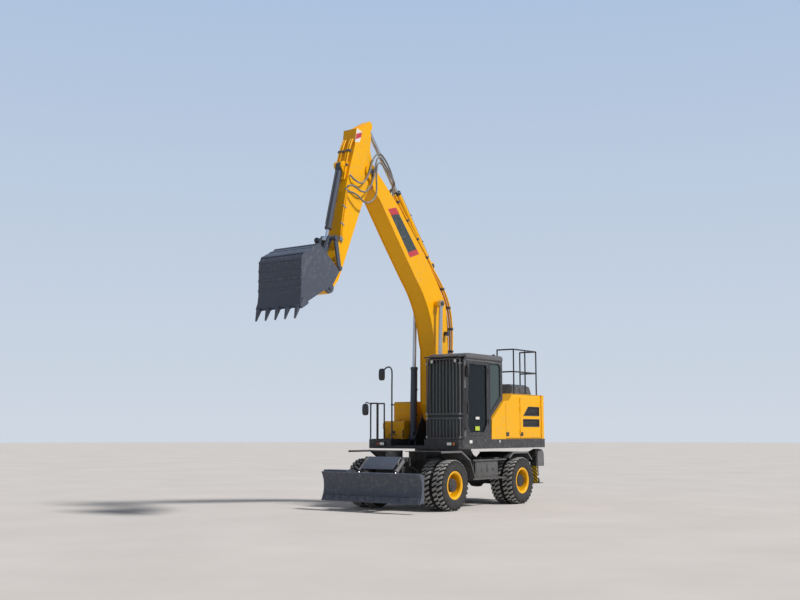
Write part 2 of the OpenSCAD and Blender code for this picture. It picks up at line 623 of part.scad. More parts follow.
// Engine house: sheet walls with openings behind the doors and under the hood
side_face = deck_half - 35; // outside of the walls that the doors lie on
sheet = 14;
house_front = cab_rear + 50;
house_back = 2400;
house_side = [
    [-house_front, deck_top + seat], [-house_front, 2335], [-900, 2345], [-1070, house_top],
    [-house_back, house_top], [-house_back, deck_top + seat]
];
front_door = [-1365, -735, 1500, 2290]; // rear, front, bottom and top of each side door
rear_door = [-2372, -1385, 1500, 2420];
hood_area = [-2300, -1440, -780, 880]; // rear, front, right and left of the hood's opening
module side_hinges(d) for (z = [d[2] + 130, d[3] - 130])
    translate([side_face + seat + door_t + hinge_off, -d[0] + 4, z]) children();
module house() color(yellow) on_axis() {
    side_hinges(front_door) hinge_fixed(hinge_off + door_t + seat + 1);
    pair() side_hinges(rear_door) hinge_fixed(hinge_off + door_t + seat + 1);
    difference() {
        intersection() {
            slab(-side_face, side_face, house_side);
            section(-house_back, -house_front, concat(
                [[-side_face, deck_top]], arc([-side_face + 60, house_top - 60], 60, 180, 90, 4),
                arc([side_face - 60, house_top - 60], 60, 90, 0, 4), [[side_face, deck_top]]
            ));
        }
        slab(-side_face + sheet, side_face - sheet, [
            [-house_front - sheet, deck_top - 1], [-house_front - sheet, 2335 - sheet], [-894, 2345 - sheet],
            [-1064, house_top - sheet], [-house_back + sheet, house_top - sheet], [-house_back + sheet, deck_top - 1]
        ]);
        for (d = [front_door, rear_door])
            brick(side_face - sheet - 1, side_face + 1, d[0] + 60, d[1] - 60, d[2] + 60, d[3] - 60);
        brick(-side_face - 1, -side_face + sheet + 1, rear_door[0] + 60, rear_door[1] - 60, rear_door[2] + 60, rear_door[3] - 60);
        brick(hood_area[2], hood_area[3], hood_area[0], hood_area[1], house_top - 40, house_top + 1);
    }
    hood_hinges() {
        for (z = [-hinge_h / 2 - 26, hinge_h / 2 + 2]) translate([0, 0, z]) {
            cylinder(h = 24, r = hinge_r);
            translate([-6, -hinge_off - 1, 0]) cube([12, hinge_off + 1, 24]);
        }
        cylinder(h = hinge_h + 50, r = hinge_pin_r, center = true);
    }
    // fairing beside and behind the cab
    slab(cab_in, deck_half - 14, [
        [-90, deck_top + seat], [-106, 1905], [-628, 2322], [-house_front - 1, 2322], [-house_front - 1, deck_top + seat]
    ]);
    slab(side_face - 40, deck_half - 14, [
        [-house_front, deck_top + seat], [-house_front, 2322], [-715, 2322], [-715, deck_top + seat]
    ]);
}
module left_front_door() color(yellow) on_axis() {
    brick(side_face + seat, side_face + seat + door_t, front_door[0], front_door[1], front_door[2], front_door[3]);
    side_hinges(front_door) hinge_moving();
}
// Two louvred openings in the rear doors
vent_upper = [[-1765, 2215], [-1545, 2015], [-2290, 2015], [-2290, 2215]];
vent_lower = [[-1520, 1925], [-1520, 1760], [-2290, 1760], [-2290, 1925]];
module vented_door(side) color(yellow) on_axis() mirror([side < 0 ? 1 : 0, 0, 0]) {
    difference() {
        brick(side_face + seat, side_face + seat + door_t, rear_door[0], rear_door[1], rear_door[2], rear_door[3]);
        for (v = [vent_upper, vent_lower]) slab(side_face, side_face + 40, v);
    }
    side_hinges(rear_door) hinge_moving();
}
module left_rear_door() vented_door(1);
module right_door() vented_door(-1);

// Hood over the engine, hinged along its right edge
hood_axis = [-916, house_top + hinge_off];
module hood_hinges() for (f = [-2120, -1620]) translate([hood_axis.x, -f, hood_axis.y]) rotate([90, 0, 0]) children();
module engine_hood() color(charcoal) on_axis() {
    difference() {
        hood_outside(0);
        hood_outside(12);
    }
    hood_hinges() difference() {
        union() {
            translate([0, 0, -hinge_h / 2]) cylinder(h = hinge_h, r = hinge_r);
            translate([0, -6, -hinge_h / 2]) cube([24, 12, hinge_h]);
        }
        cylinder(h = hinge_h + 2, r = hinge_pin_r + slack, center = true);
    }
}
module hood_outside(t) intersection() {
    section(-2345 + t, -1385 - t, [
        [-900 + t, house_top + (t > 0 ? -1 : seat)], [-860 + t, house_top + 190 - t], [-700, house_top + 235 - t],
        [860, house_top + 235 - t], [960 - t, house_top + 190 - t], [1000 - t, house_top + (t > 0 ? -1 : seat)]
    ]);
    slab(-1100, 1100, [
        [-2345 + t, house_top - 2], [-2300 + t, house_top + 235 - t], [-1520 - t, house_top + 235 - t], [-1385 - t, house_top - 2]
    ]);
}

// Right side: tank, toolbox with its lid
tank_top = 2330;
module right_tank() color(yellow) on_axis() difference() {
    slab(-deck_half + 14, -612, concat(
        [[-house_front + seat, deck_top + seat], [190, deck_top + seat]],
        arc([130, tank_top - 60], 60, 0, 90, 5), [[-house_front + seat, tank_top]]
    ));
    slab(-deck_half, -600, [[-580, 1560], [120, 1560], [120, 1568], [-580, 1568]]);
}
box_rear = 240;
box_front = 640;
box_high = 1855; // rim at the rear
box_low = 1700; // rim at the front
box_axis = [box_rear - 14, box_high + 33];
module box_hinges() for (x = [-1080, -780]) translate([x, -box_axis.x, box_axis.y]) rotate([0, 90, 0]) children();
module toolbox() color(yellow) on_axis() {
    difference() {
        slab(-deck_half + 40, -640, [[box_rear, lip_z], [box_front, lip_z], [box_front, box_low], [box_rear, box_high]]);
        slab(-deck_half + 54, -654, [
            [box_rear + 14, lip_z + 14], [box_front - 14, lip_z + 14], [box_front - 14, 1900], [box_rear + 14, 1900]
        ]);
    }
    box_hinges() {
        for (z = [-hinge_h / 2 - 26, hinge_h / 2 + 2]) translate([0, 0, z]) {
            cylinder(h = 24, r = hinge_r);
            translate([0, -4, 0]) cube([100, 12, 24]);
        }
        cylinder(h = hinge_h + 50, r = hinge_pin_r, center = true);
    }
    for (x = [-1080, -780]) brick(x - hinge_h / 2 - 26, x + hinge_h / 2 + 26, box_axis.x - 8, box_rear + 1, 1780, 1840);
}
module toolbox_lid() color(yellow) on_axis() {
    difference() {
        slab(-deck_half + 30, -630, concat(
            [[box_rear, box_high + seat], [box_rear, 1884], [520, 1884]], arc([560, 1800], 84, 80, 0, 6),
            [[box_front + 4, box_low + 6], [box_front, box_low + seat]]
        ));
        slab(-deck_half + 54, -644, [
            [box_rear + 14, box_high - 20], [box_rear + 14, 1870], [515, 1870], [box_front - 12, 1790], [box_front - 12, box_low - 20]
        ]);
    }
    box_hinges() difference() {
        union() {
            translate([0, 0, -hinge_h / 2]) cylinder(h = hinge_h, r = hinge_r);
            translate([-8, -54, -hinge_h / 2]) cube([14, 54, hinge_h]);
        }
        cylinder(h = hinge_h + 2, r = hinge_pin_r + slack, center = true);
    }
}

// Guard rails on the engine house, handrails at the right front
module rails() color(black) on_axis() {
    z0 = house_top - 20;
    z1 = house_top + rail_h;
    x1 = 1120;
    f0 = -2376;
    f1 = -1300;
    corners = [[680, f1], [x1, f1], [x1, f0], [680, f0]];
    for (p = corners) {
        post(p.x, p.y, house_top + seat, z1, rail_r);
        ball([p.x, p.y, z1], rail_r);
    }
    for (z = [z1, house_top + rail_h * 0.5]) for (i = [0:2])
        bar([corners[i].x, corners[i].y, z], [corners[i + 1].x, corners[i + 1].y, z], rail_r);
    post(x1, (f0 + f1) / 2, house_top + seat, z1, rail_r);
    // handrail loop at the right front corner and one along the right side
    for (f = [1130, 860]) {
        hand_loop([-1200, f, deck_top + seat], [-1020, f, deck_top + seat], 800);
    }
}
module hand_loop(a, b, h) {
    up = [0, 0, h];
    bar(a, a + up, rail_r);
    bar(b, b + up, rail_r);
    bar(a + up, b + up, rail_r);
    ball(a + up, rail_r);
    ball(b + up, rail_r);
}

module mirrors() color(black) on_axis() {
    // right: a tube from the deck with an arm to the outside
    post(-615, 1120, deck_top + seat, 3060, 16);
    cross(-980, -615, [1120, 3010], 13);
    brick(-1060, -870, 1112, 1140, 2780, 3120);
    // left: a short arm on the cab's side, ahead of the door
    cross(cab_out + seat, cab_out + 40, [975, 2950], 12);
    brick(cab_out + 26, cab_out + 105, 960, 988, 2800, 3070);
}
module lamps() color("#e8e4d8") on_axis() {
    for (x = [440, 1060]) shaft(x, cab_face(3120) + seat, cab_front + 40, 3162, 42);
    for (x = [-1000, 820]) brick(x - 70, x + 70, deck_front + seat, deck_front + 20, 1350, 1410);
}

// Cab: a hollow shell split at its door, with its windows cut
lip_z = deck_top + seat;
cab_side = [
    [cab_front, lip_z], [cab_front - 30, 3170], [cab_front - 90, cab_top - 40], [cab_front - 150, cab_top],
    [-cab_rear + 60, cab_top], [-cab_rear, cab_top - 60], [-cab_rear, 2370], [-95, 1975], [-75, 1930], [-75, lip_z]
];
cab_inside = [
    [cab_front - cab_t, lip_z + 50], [cab_front - 30 - cab_t, 3150], [cab_front - 165, cab_top - cab_t],
    [-cab_rear + 70, cab_top - cab_t], [-cab_rear + cab_t, cab_top - 85], [-cab_rear + cab_t, 2388],
    [-60, 1990], [-75 + cab_t, 1935], [-75 + cab_t, lip_z + 50]
];
// Front of the cab at a height
function cab_face(z) = cab_front - 30 * (z - lip_z) / (3170 - lip_z);
door_edge = [30, cab_front - 115, 1560, 3165]; // rear, front, bottom and top of the door
door_shape = [
    [door_edge[0], door_edge[3]], [door_edge[1] - 22, door_edge[3]], [door_edge[1], 1760], [door_edge[1] - 130, door_edge[2]],
    [door_edge[0] + 180, door_edge[2]], [door_edge[0], 1760]
];
pane = 6;
door_pane = [
    [door_edge[0] + 62, door_edge[3] - 60], [door_edge[1] - 84, door_edge[3] - 60], [door_edge[1] - 62, 1790],
    [door_edge[1] - 160, door_edge[2] + 62], [door_edge[0] + 210, door_edge[2] + 62], [door_edge[0] + 62, 1790]
];
quarter_pane = [[-45, 3150], [-430, 3150], [-490, 3100], [-490, 2420], [-70, 2050], [-45, 2050]];
side_pane = [[cab_front - 160, 3120], [-480, 3120], [-480, 2440], [-60, 2080], [cab_front - 130, 2080]];
front_pane = [[cab_in + 75, 1640], [cab_out - 75, 1640], [cab_out - 75, 3120], [cab_in + 75, 3120]];
rear_pane = [[cab_in + 100, 2480], [cab_out - 100, 2480], [cab_out - 100, 3120], [cab_in + 100, 3120]];
module cab_hinges() for (z = [1860, 2960]) translate([cab_out + hinge_off, -door_edge[0] - 3, z]) children();
module cab_corners(inset) {
    r = 60 - inset * 0.5;
    x0 = cab_in + inset;
    x1 = cab_out - inset;
    f1 = cab_front - inset;
    plan(lip_z - 1, cab_top + 1, concat(
        [[x0, -cab_rear + inset]], [[x0, f1]], arc([x1 - r, f1 - r], r, 90, 0, 5), [[x1, -cab_rear + inset]]
    ));
}
module cab_shell() color(charcoal) on_axis() {
    difference() {
        intersection() {
            slab(cab_in, cab_out, cab_side);
            cab_corners(0);
        }
        intersection() {
            slab(cab_in + cab_t, cab_out - cab_t, cab_inside);
            cab_corners(cab_t);
        }
        slab(cab_out - cab_t - 20, cab_out + 1, door_shape);
        slab(cab_out - cab_t - 20, cab_out + 1, quarter_pane);
        slab(cab_in - 1, cab_in + cab_t + 1, side_pane);
        section(cab_front - 130, cab_front + 1, front_pane);
        section(-cab_rear - 1, -cab_rear + cab_t + 1, rear_pane);
    }
    cab_hinges() hinge_fixed();
    // visor over the front glass
    slab(cab_in + 4, cab_out - 4, [[cab_front - 120, 3255], [cab_front + 140, 3225], [cab_front + 140, 3250], [cab_front - 120, 3296]]);
}
module cab_door() color(charcoal) on_axis() {
    shape = [for (p = door_shape) [p.x + (p.x > 500 ? -7 : 7), p.y + (p.y > 2500 ? -7 : p.y < 1700 ? 7 : 0)]];
    difference() {
        slab(cab_out - cab_t, cab_out, shape);
        slab(cab_out - cab_t - 1, cab_out + 1, door_pane);
    }
    cab_hinges() hinge_moving();
    // grab handle
    brick(cab_out, cab_out + 16, door_edge[1] - 60, door_edge[1] - 36, 2050, 2260);
}
module cab_glass() color("#27343a", 0.6) on_axis() {
    x = cab_t / 2;
    slab(cab_out - x - pane, cab_out - x, [for (p = quarter_pane) [p.x + (p.x > -200 ? -seat : seat), p.y + (p.y > 2500 ? -seat : seat)]]);
    slab(cab_in + x, cab_in + x + pane, [for (p = side_pane) [p.x + (p.x > 0 ? -seat : seat), p.y + (p.y > 2500 ? -seat : seat)]]);
    slab(cab_in + 75 + seat, cab_out - 75 - seat, [
        [cab_front - 14, 1640 + seat], [cab_front - 14 - pane, 1640 + seat], [cab_front - 38 - pane, 3120 - seat], [cab_front - 38, 3120 - seat]
    ]);
    brick(cab_in + 100 + seat, cab_out - 100 - seat, -cab_rear + 16, -cab_rear + 16 + pane, 2480 + seat, 3120 - seat);
}
module door_glass() color("#27343a", 0.6) on_axis()
    slab(cab_out - cab_t / 2 - pane, cab_out - cab_t / 2, [
        for (p = door_pane) [p.x + (p.x > 500 ? -seat : seat), p.y + (p.y > 2500 ? -seat : seat)]
    ]);

// Guard of upright bars over the front glass
guard_bars = 11;
module cab_guard() color(black) on_axis() {
    f = cab_front + 62;
    x0 = cab_in + 20;
    x1 = cab_out - 30;
    for (z = [[lip_z + 40, 2110], [2150, 3195]]) {
        for (zz = z) brick(x0, x1, f - 10, f + 10, zz - 16, zz + 16);
        for (i = [0:guard_bars - 1]) post(x0 + 12 + (x1 - x0 - 24) * i / (guard_bars - 1), f, z[0], z[1], 9);
        for (x = [x0, x1 - 24]) brick(x, x + 24, f - 12, f + 12, z[0], z[1]);
    }
    for (x = [x0, x1 - 24]) for (z = [1640, 2060, 2200, 3100])
        brick(x, x + 24, cab_face(z - 14) + seat, f, z - 14, z + 14);
}

module seat() color("#2b2d30") on_axis() {
    c = (cab_in + cab_out) / 2 + 20;
    brick(c - 170, c + 170, 60, 420, lip_z + 50 + seat, 1760);
    brick(c - 240, c + 240, 20, 500, 1760, 1890);
    slab(c - 230, c + 230, [[20, 1860], [150, 1860], [60, 2560], [-60, 2560]]);
    slab(c - 140, c + 140, [[-75, 2560], [40, 2560], [20, 2760], [-80, 2760]]);
    for (s = [-1, 1]) brick(c + s * 320 - 60, c + s * 320 + 60, 60, 560, 1640, 2000);
    for (s = [-1, 1]) brick(c + s * 320 - 60, c + s * 320 + 60, 120, 400, lip_z + 50 + seat, 1641);
    slab(c - 60, c + 60, [[720, lip_z + 50 + seat], [840, lip_z + 50 + seat], [700, 2150], [640, 2150]]);
}

// Boom: a welded box whose side plates stand proud, drawn in its own frame
boom_pin_r = 50;
tip_pin_r = 45;
flange_t = 16; // side plates of the boom
flange_rise = 18; // of the side plates above the top and bottom plates
boom_under = concat(
    arc([0, 0], 185, 180, 300, 10), [[334, -150], [1432, 430]], arc([2378, -1691], 2281, 109, 71, 8),
    [[4145, 224], [5130, 12], [5420, -110]]
);
boom_over = concat(
    [[5490, 290], [4964, 530], [3893, 905], [3360, 1068], [2827, 1190]],
    arc([2250, 560], 720, 76, 122, 8), [[1250, 900], [160, 200]]
);
tip_ear = concat([[5130, 12]], arc([boom_len, 0], 160, -100, 88, 12), [[5490, 290], [4964, 530]]);
arm_base = [3100, 1400];
arm_eye_w = 100;
arm_ear_t = 34;
module boom() color(yellow) in_boom() difference() {
    union() {
        slab(-boom_w / 2 + 1, boom_w / 2 - 1, inset(concat(boom_under, boom_over), flange_rise));
        pair() slab(boom_w / 2 - flange_t, boom_w / 2, concat(boom_under, boom_over));
        // fork at the tip
        pair() slab(stick_w / 2 + side_gap, boom_w / 2, tip_ear);
        cross(-boom_w / 2 - 14, boom_w / 2 + 14, [boom_len, 0], tip_pin_r);
        pair() cross(boom_w / 2, boom_w / 2 + 14, [boom_len, 0], 74);
        // bosses beside the cylinders' rods
        pair() cross(boom_w / 2 - 1, ram_x - ram_eye_w / 2 - seat, boom_eye, 78);
        // foot boss
        cross(-ear_in + side_gap, ear_in - side_gap, [0, 0], 150);
        // ears of the arm cylinder
        pair() slab(arm_eye_w / 2 + side_gap, arm_eye_w / 2 + side_gap + arm_ear_t, concat([[2870, 1120], [3260, 1030]], arc(arm_base, 82, 10, 170)));
        cross(-arm_eye_w / 2 - 50, arm_eye_w / 2 + 50, arm_base, 44);
    }
    cross(-ear_in, ear_in, [0, 0], boom_pin_r + slack);
}

// Boom cylinders
ram = boom_foot + turn(boom_eye, boom_angle) - boom_base;
ram_len = norm(ram);
boom_barrel_end = 1600;
module boom_cylinder() on_axis() translate([boom_x, 0, 0]) for (x = [-ram_x, ram_x])
    translate([x, 0, 0]) framed(boom_base, angle_of(ram)) children();
module boom_barrels() color(slate) boom_cylinder()
    barrel(boom_barrel_r, 72, ram_eye_w, 42, 130, boom_barrel_end, boom_rod_r + 1, 170);
module boom_rods() color(chrome) boom_cylinder() rod(boom_rod_r, boom_barrel_end - 190, ram_len, 78, ram_eye_w);

// Stick, in its own frame from the boom's tip pin to the bucket pin
arm_eye = [-978, 375];
bucket_base = [360, 700];
guide_pin = [stick_len - 480, -40];
link_pin = [stick_len - 957, 344];
bucket_eye_w = 120;
bucket_ear_t = 34;
guide_x = 246; // middle of each guide link
stick_shape = concat(
    arc([0, 0], 165, 215, 275, 6), [[757, -118], [stick_len - 320, -205], [stick_len - 60, -132]],
    arc([stick_len, 0], 130, -90, 80, 10), [[stick_len - 420, 95], [2110, 108], [1661, 236], [1303, 345], [883, 470], [370, 575]],
    [[-183, 660], [-540, 790], [-850, 470], [-760, 330], [-414, 190]]
);
module stick() color(yellow) in_stick() difference() {
    union() {
        slab(-stick_w / 2, stick_w / 2, stick_shape);
        // lug of the arm cylinder
        pair() slab(arm_eye_w / 2 + seat, arm_eye_w / 2 + seat + arm_ear_t, concat([[-600, 330], [-640, 700]], arc(arm_eye, 95, 110, 270)));
        // lug of the bucket cylinder
        pair() slab(bucket_eye_w / 2 + side_gap, bucket_eye_w / 2 + side_gap + bucket_ear_t, concat([[600, 500], [180, 560]], arc(bucket_base, 84, 170, 10)));
        cross(-bucket_eye_w / 2 - 50, bucket_eye_w / 2 + 50, bucket_base, 36);
        cross(-guide_x + 26, guide_x - 26, guide_pin, 66);
    }
    // slot in which the arm cylinder's rod and its eye run as the stick swings
    slab(-arm_eye_w / 2 - seat, arm_eye_w / 2 + seat, [[-1080, 140], [-650, 140], [-650, 410], [-700, 460], [-860, 500], [-1080, 500]]);
    cross(-stick_w, stick_w, [0, 0], tip_pin_r + slack);
    cross(-stick_w, stick_w, [stick_len, 0], 45 + slack);
    cross(-stick_w, stick_w, guide_pin, 34 + slack);
}
arm_base_f = boom_foot + turn(arm_base, boom_angle);
arm_ram = boom_tip + turn(arm_eye, stick_angle) - arm_base_f;
arm_barrel_end = 1975;
module arm_cylinder() on_axis() translate([boom_x, 0, 0]) framed(arm_base_f, angle_of(arm_ram)) children();
module arm_barrel() color(slate) arm_cylinder() barrel(arm_barrel_r, 78, arm_eye_w, 44, 150, arm_barrel_end, arm_rod_r + 1, 172);
module arm_rod() color(chrome) arm_cylinder() rod(arm_rod_r, 1735, norm(arm_ram), 78, arm_eye_w);

bucket_ram = link_pin - bucket_base;
bucket_barrel_end = norm(bucket_ram) - 225;
module bucket_cylinder() in_stick() framed(bucket_base, angle_of(bucket_ram)) children();
module bucket_barrel() color(slate) bucket_cylinder() barrel(bucket_barrel_r, 70, bucket_eye_w, 36, 100, bucket_barrel_end, bucket_rod_r + 1, 122);
module bucket_rod() color(chrome) bucket_cylinder() rod(bucket_rod_r, 200, norm(bucket_ram), 62, bucket_eye_w - 4);

// Guide links: a plate on each side of the stick, joined by the pin through it
module guide_links() color(slate) in_stick() {
    way = link_pin - guide_pin;
    pair() {
        framed_slab(guide_x - 17, guide_x + 17, guide_pin, way, 62, 62, 48);
        cross(116 + seat, guide_x - 16, link_pin, 40);
        cross(guide_x + 16, guide_x + 30, guide_pin, 50);
        cross(guide_x + 16, guide_x + 30, link_pin, 50);
    }
    cross(-guide_x, guide_x, guide_pin, 34);
}
// Flat link with round ends between two points
module framed_slab(x0, x1, a, way, ra, rb, mid) {
    n = norm(way);
    framed(a, angle_of(way)) slab(x0, x1, concat(
        arc([0, 0], ra, 130, 230, 8), [[n * 0.3, -mid], [n * 0.7, -mid]], arc([n, 0], rb, -50, 50, 8), [[n * 0.7, mid], [n * 0.3, mid]]
    ));
}

// Push link between the guide links and the bucket, with a lifting eye
bucket_eye = turn([487, 0], 69.3 + bucket_angle); // in the bucket's frame
link_top = turn(boom_tip + turn(link_pin, stick_angle) - bucket_pin, bucket_angle);
lift_eye_r = 34;
module push_link() color(slate) in_bucket() {
    way = link_top - bucket_eye;
    n = norm(way);
    difference() {
        union() {
            framed_slab(-116, 116, bucket_eye, way, 62, 74, 56);
            cross(-stick_w / 2, stick_w / 2, bucket_eye, 70);
            framed(bucket_eye, angle_of(way)) slab(-22, 22, concat([[n * 0.12, -20]], arc([n * 0.36, -110], 72, 190, 350, 10), [[n * 0.6, -20]]));
        }
        framed(bucket_eye, angle_of(way)) {
            brick(-bucket_eye_w / 2 + 2 - seat, bucket_eye_w / 2 - 2 + seat, n * 0.5, n + 100, -200, 200);
            cross(-30, 30, [n * 0.36, -110], lift_eye_r);
        }
        cross(-stick_w, stick_w, bucket_eye, 38 + slack);
    }
}

// Bucket, in a frame at its pin with the first coordinate towards the teeth
mouth = 170; // of the lip above the line from the pin to the teeth
bucket_outside = concat(
    [[260, 150], [-50, 290], [230, 960]], arc([300, 945], 70, 168, 95, 4), arc([690, 780], 250, 88, 30, 8),
    [[1205, 390], [bucket_reach - 190, mouth + 22], [bucket_reach - 205, mouth]]
);
bucket_inside = concat(
    [[286, 120], [286, 165], [-18, 302], [255, 950]], arc([318, 935], 56, 168, 95, 4), arc([690, 780], 250 - bucket_t, 88, 30, 8),
    [[1184, 378], [bucket_reach - 222, mouth + 10], [bucket_reach - 222, 120]]
);
ear_shape = concat(
    arc([0, 0], 118, 200, 340, 10), [[250, 140], [330, 480], [300, 900], [190, 880]], arc(bucket_eye, 86, 60, 180, 8), [[-122, 300]]
);
bucket_ear_x = [stick_w / 2 + side_gap, stick_w / 2 + side_gap + 42];
module bucket() color(slate) in_bucket() {
    half = bucket_w / 2;
    difference() {
        union() {
            slab(-half, half, bucket_outside);
            pair() slab(bucket_ear_x[0], bucket_ear_x[1], ear_shape);
            // side cutters
            pair() slab(half - 2, half + 24, [
                [bucket_reach - 320, mouth + 130], [bucket_reach - 430, mouth - 20], [bucket_reach - 400, mouth - 40],
                [bucket_reach - 200, mouth - 40], [bucket_reach - 190, mouth + 30]
            ]);
            // wear strips across the back
            for (s = strips) framed(s[0], s[1]) brick(-half, half, -22, 22, -2, 12);
        }
        slab(-half + bucket_t, half - bucket_t, bucket_inside);
    }
    cross(-bucket_ear_x[1] - 20, bucket_ear_x[1] + 20, [0, 0], 45);
    cross(-bucket_ear_x[1] - 16, bucket_ear_x[1] + 16, bucket_eye, 38);
    // lip and teeth
    lip = bucket_reach - 200;
    slab(-half + 2, half - 2, [[lip - 130, mouth - 2], [lip - 130, mouth + 34], [lip + 40, mouth + 8], [lip + 40, mouth - 6]]);
    for (i = [0:tooth_count - 1]) {
        x = (i / (tooth_count - 1) - 0.5) * (bucket_w - 110);
        intersection() {
            slab(x - 55, x + 55, [
                [lip - 60, mouth - 34], [lip - 60, mouth + 48], [lip + 30, mouth + 36], [bucket_reach, mouth - 146],
                [bucket_reach - 8, mouth - 156], [lip + 20, mouth - 34]
            ]);
            plan(-400, 600, [[x - 42, lip - 61], [x - 42, lip + 50], [x - 16, bucket_reach + 1], [x + 16, bucket_reach + 1], [x + 42, lip + 50], [x + 42, lip - 61]]);
        }
    }
}
// Places and slopes of the wear strips along the back
strips = [
    for (x = [330, 480, 640]) [[x, 1016], 0],
    for (a = [75, 45]) [[690, 780] + 250 * [cos(a), sin(a)], a - 90],
    for (t = [0.18, 0.5, 0.82]) [[906, 905] + t * [299, -515], -60]
];

chassis();
tie_points();
slew_ring();
fenders();
side_lockers();
front_axle();
rear_axle();
prop_shaft();
knuckle_left();
knuckle_right();
tie_rod();
tyres_front_left();
tyres_front_right();
tyres_rear_left();
tyres_rear_right();
rims_front_left();
rims_front_right();
rims_rear_left();
rims_rear_right();
blade();
blade_barrels();
blade_rods();
outrigger_left();
outrigger_right();
outrigger_barrel_left();
outrigger_barrel_right();
outrigger_rod_left();
outrigger_rod_right();
platform();
counterweight();
engine();
house();
engine_hood();
left_front_door();
left_rear_door();
right_door();
right_tank();
toolbox();
toolbox_lid();
rails();
mirrors();
lamps();
cab_shell();
cab_door();
cab_glass();
door_glass();
cab_guard();
seat();
boom();
boom_barrels();
boom_rods();
stick();
arm_barrel();
arm_rod();
bucket_barrel();
bucket_rod();
guide_links();
push_link();
bucket();
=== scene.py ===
import json
import math

import bmesh
import bpy
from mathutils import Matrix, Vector


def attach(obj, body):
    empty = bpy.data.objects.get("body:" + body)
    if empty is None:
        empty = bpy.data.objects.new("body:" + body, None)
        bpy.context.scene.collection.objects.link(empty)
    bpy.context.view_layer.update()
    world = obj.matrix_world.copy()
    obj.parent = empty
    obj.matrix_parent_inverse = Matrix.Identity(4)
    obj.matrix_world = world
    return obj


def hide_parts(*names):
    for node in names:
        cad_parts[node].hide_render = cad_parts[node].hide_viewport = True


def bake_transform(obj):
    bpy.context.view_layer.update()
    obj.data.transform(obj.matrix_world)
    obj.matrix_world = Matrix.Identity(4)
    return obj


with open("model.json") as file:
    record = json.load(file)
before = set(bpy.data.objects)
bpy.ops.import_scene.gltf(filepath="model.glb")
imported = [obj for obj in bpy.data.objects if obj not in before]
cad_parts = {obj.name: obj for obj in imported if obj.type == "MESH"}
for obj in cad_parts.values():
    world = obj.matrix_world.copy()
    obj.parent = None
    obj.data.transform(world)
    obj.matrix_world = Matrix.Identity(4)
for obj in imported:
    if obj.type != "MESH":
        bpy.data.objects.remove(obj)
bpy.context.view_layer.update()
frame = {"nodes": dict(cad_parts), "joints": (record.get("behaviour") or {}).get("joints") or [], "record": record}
NODES = frame["nodes"]

# Places are [left, forward, up] in millimetres from the slewing axis on the ground
JOINTS = {j["name"]: j for j in frame["joints"]}
AXIS_Y = JOINTS["swing"]["pos_m"][1]
HANDS = (("left", 1), ("right", -1))


def ground(x, f, z):
    """A place of the machine in the metres of Blender's world."""
    return Vector((x * 0.001, AXIS_Y - f * 0.001, z * 0.001))


def pin(joint):
    """A joint's axis as [forward, up]."""
    p = JOINTS[joint]["pos_m"]
    return Vector(((AXIS_Y - p[1]) * 1000, p[2] * 1000))


def left_of_middle(joint):
    return JOINTS[joint]["pos_m"][0] * 1000


def carried(origin, way, p):
    """[Forward, up] of a point that is given as [along way, across it] from origin."""
    w = way.normalized()
    return origin.x + p[0] * w.x - p[1] * w.y, origin.y + p[0] * w.y + p[1] * w.x


def along(origin, way, middle=0.0):
    """A frame whose coordinates run left from middle, along way and across it."""
    def put(x, a, b):
        return ground(middle + x, *carried(origin, way, (a, b)))

    return put


AXLE_F, TYRE_R = pin("wheels_front_left_spin")
TWIN_X = left_of_middle("wheels_front_left_spin")
TWIN_HALF = 159  # from the middle of twin tyres to the middle of each
HUB_R = 151.5
BOOM_X = left_of_middle("boom_lift")
BOOM_FOOT, BOOM_TIP, BUCKET_PIN = pin("boom_lift"), pin("stick_swing"), pin("bucket_tilt")
IN_BOOM = along(BOOM_FOOT, BOOM_TIP - BOOM_FOOT, BOOM_X)
IN_STICK = along(BOOM_TIP, BUCKET_PIN - BOOM_TIP, BOOM_X)
# Pins of the cylinders as [along, across] on the boom and on the stick
BOOM_ROD_PIN, ARM_BARREL_PIN = (2340, 920), (3100, 1400)
ARM_ROD_PIN, BUCKET_ROD_PIN = (-978, 375), (1993, 344)
BOOM_CYLINDER_X = 355  # from the middle of the boom to each of its cylinders


def on_boom(p):
    """[Forward, up] of a point of the boom's frame."""
    return carried(BOOM_FOOT, BOOM_TIP - BOOM_FOOT, p)


def on_stick(p):
    """[Forward, up] of a point of the stick's frame."""
    return carried(BOOM_TIP, BUCKET_PIN - BOOM_TIP, p)


# Camera, floor and light: the camera's place and its angles in degrees were fitted to the photograph
CAMERA_PLACE = (13404, 20163, 1635)
CAMERA_YAW, CAMERA_PITCH = 35.92, 7.12
FOCAL_PIXELS, PICTURE_WIDTH = 1056.2, 800
SENSOR_WIDTH = 36.0
FLOOR_R = 150
HORIZON, ZENITH = (0.62, 0.68, 0.76), (0.36, 0.50, 0.72)
SKY_TINT, SKY_LIGHT = (0.86, 0.92, 1.0), 0.19
# Name, way towards it as [left, forward, up], strength, colour and spread in degrees
LAMPS = (
    ("key", (0.66, -0.12, 0.74), 3.35, (1.0, 0.97, 0.93), 9),
    ("fill", (0.35, 0.9, 0.35), 0.09, (0.9, 0.95, 1.0), 60),
)


def add_camera(scene):
    cam = bpy.data.objects.new("camera", bpy.data.cameras.new("camera"))
    scene.collection.objects.link(cam)
    scene.camera = cam
    cam.location = ground(*CAMERA_PLACE)
    yaw, pitch = math.radians(CAMERA_YAW), math.radians(CAMERA_PITCH)
    look = Vector((-math.sin(yaw) * math.cos(pitch), math.cos(yaw) * math.cos(pitch), math.sin(pitch)))
    cam.rotation_euler = look.to_track_quat("-Z", "Y").to_euler()
    cam.data.sensor_width = SENSOR_WIDTH
    cam.data.lens = FOCAL_PIXELS / PICTURE_WIDTH * SENSOR_WIDTH
    cam.data.clip_end = 500


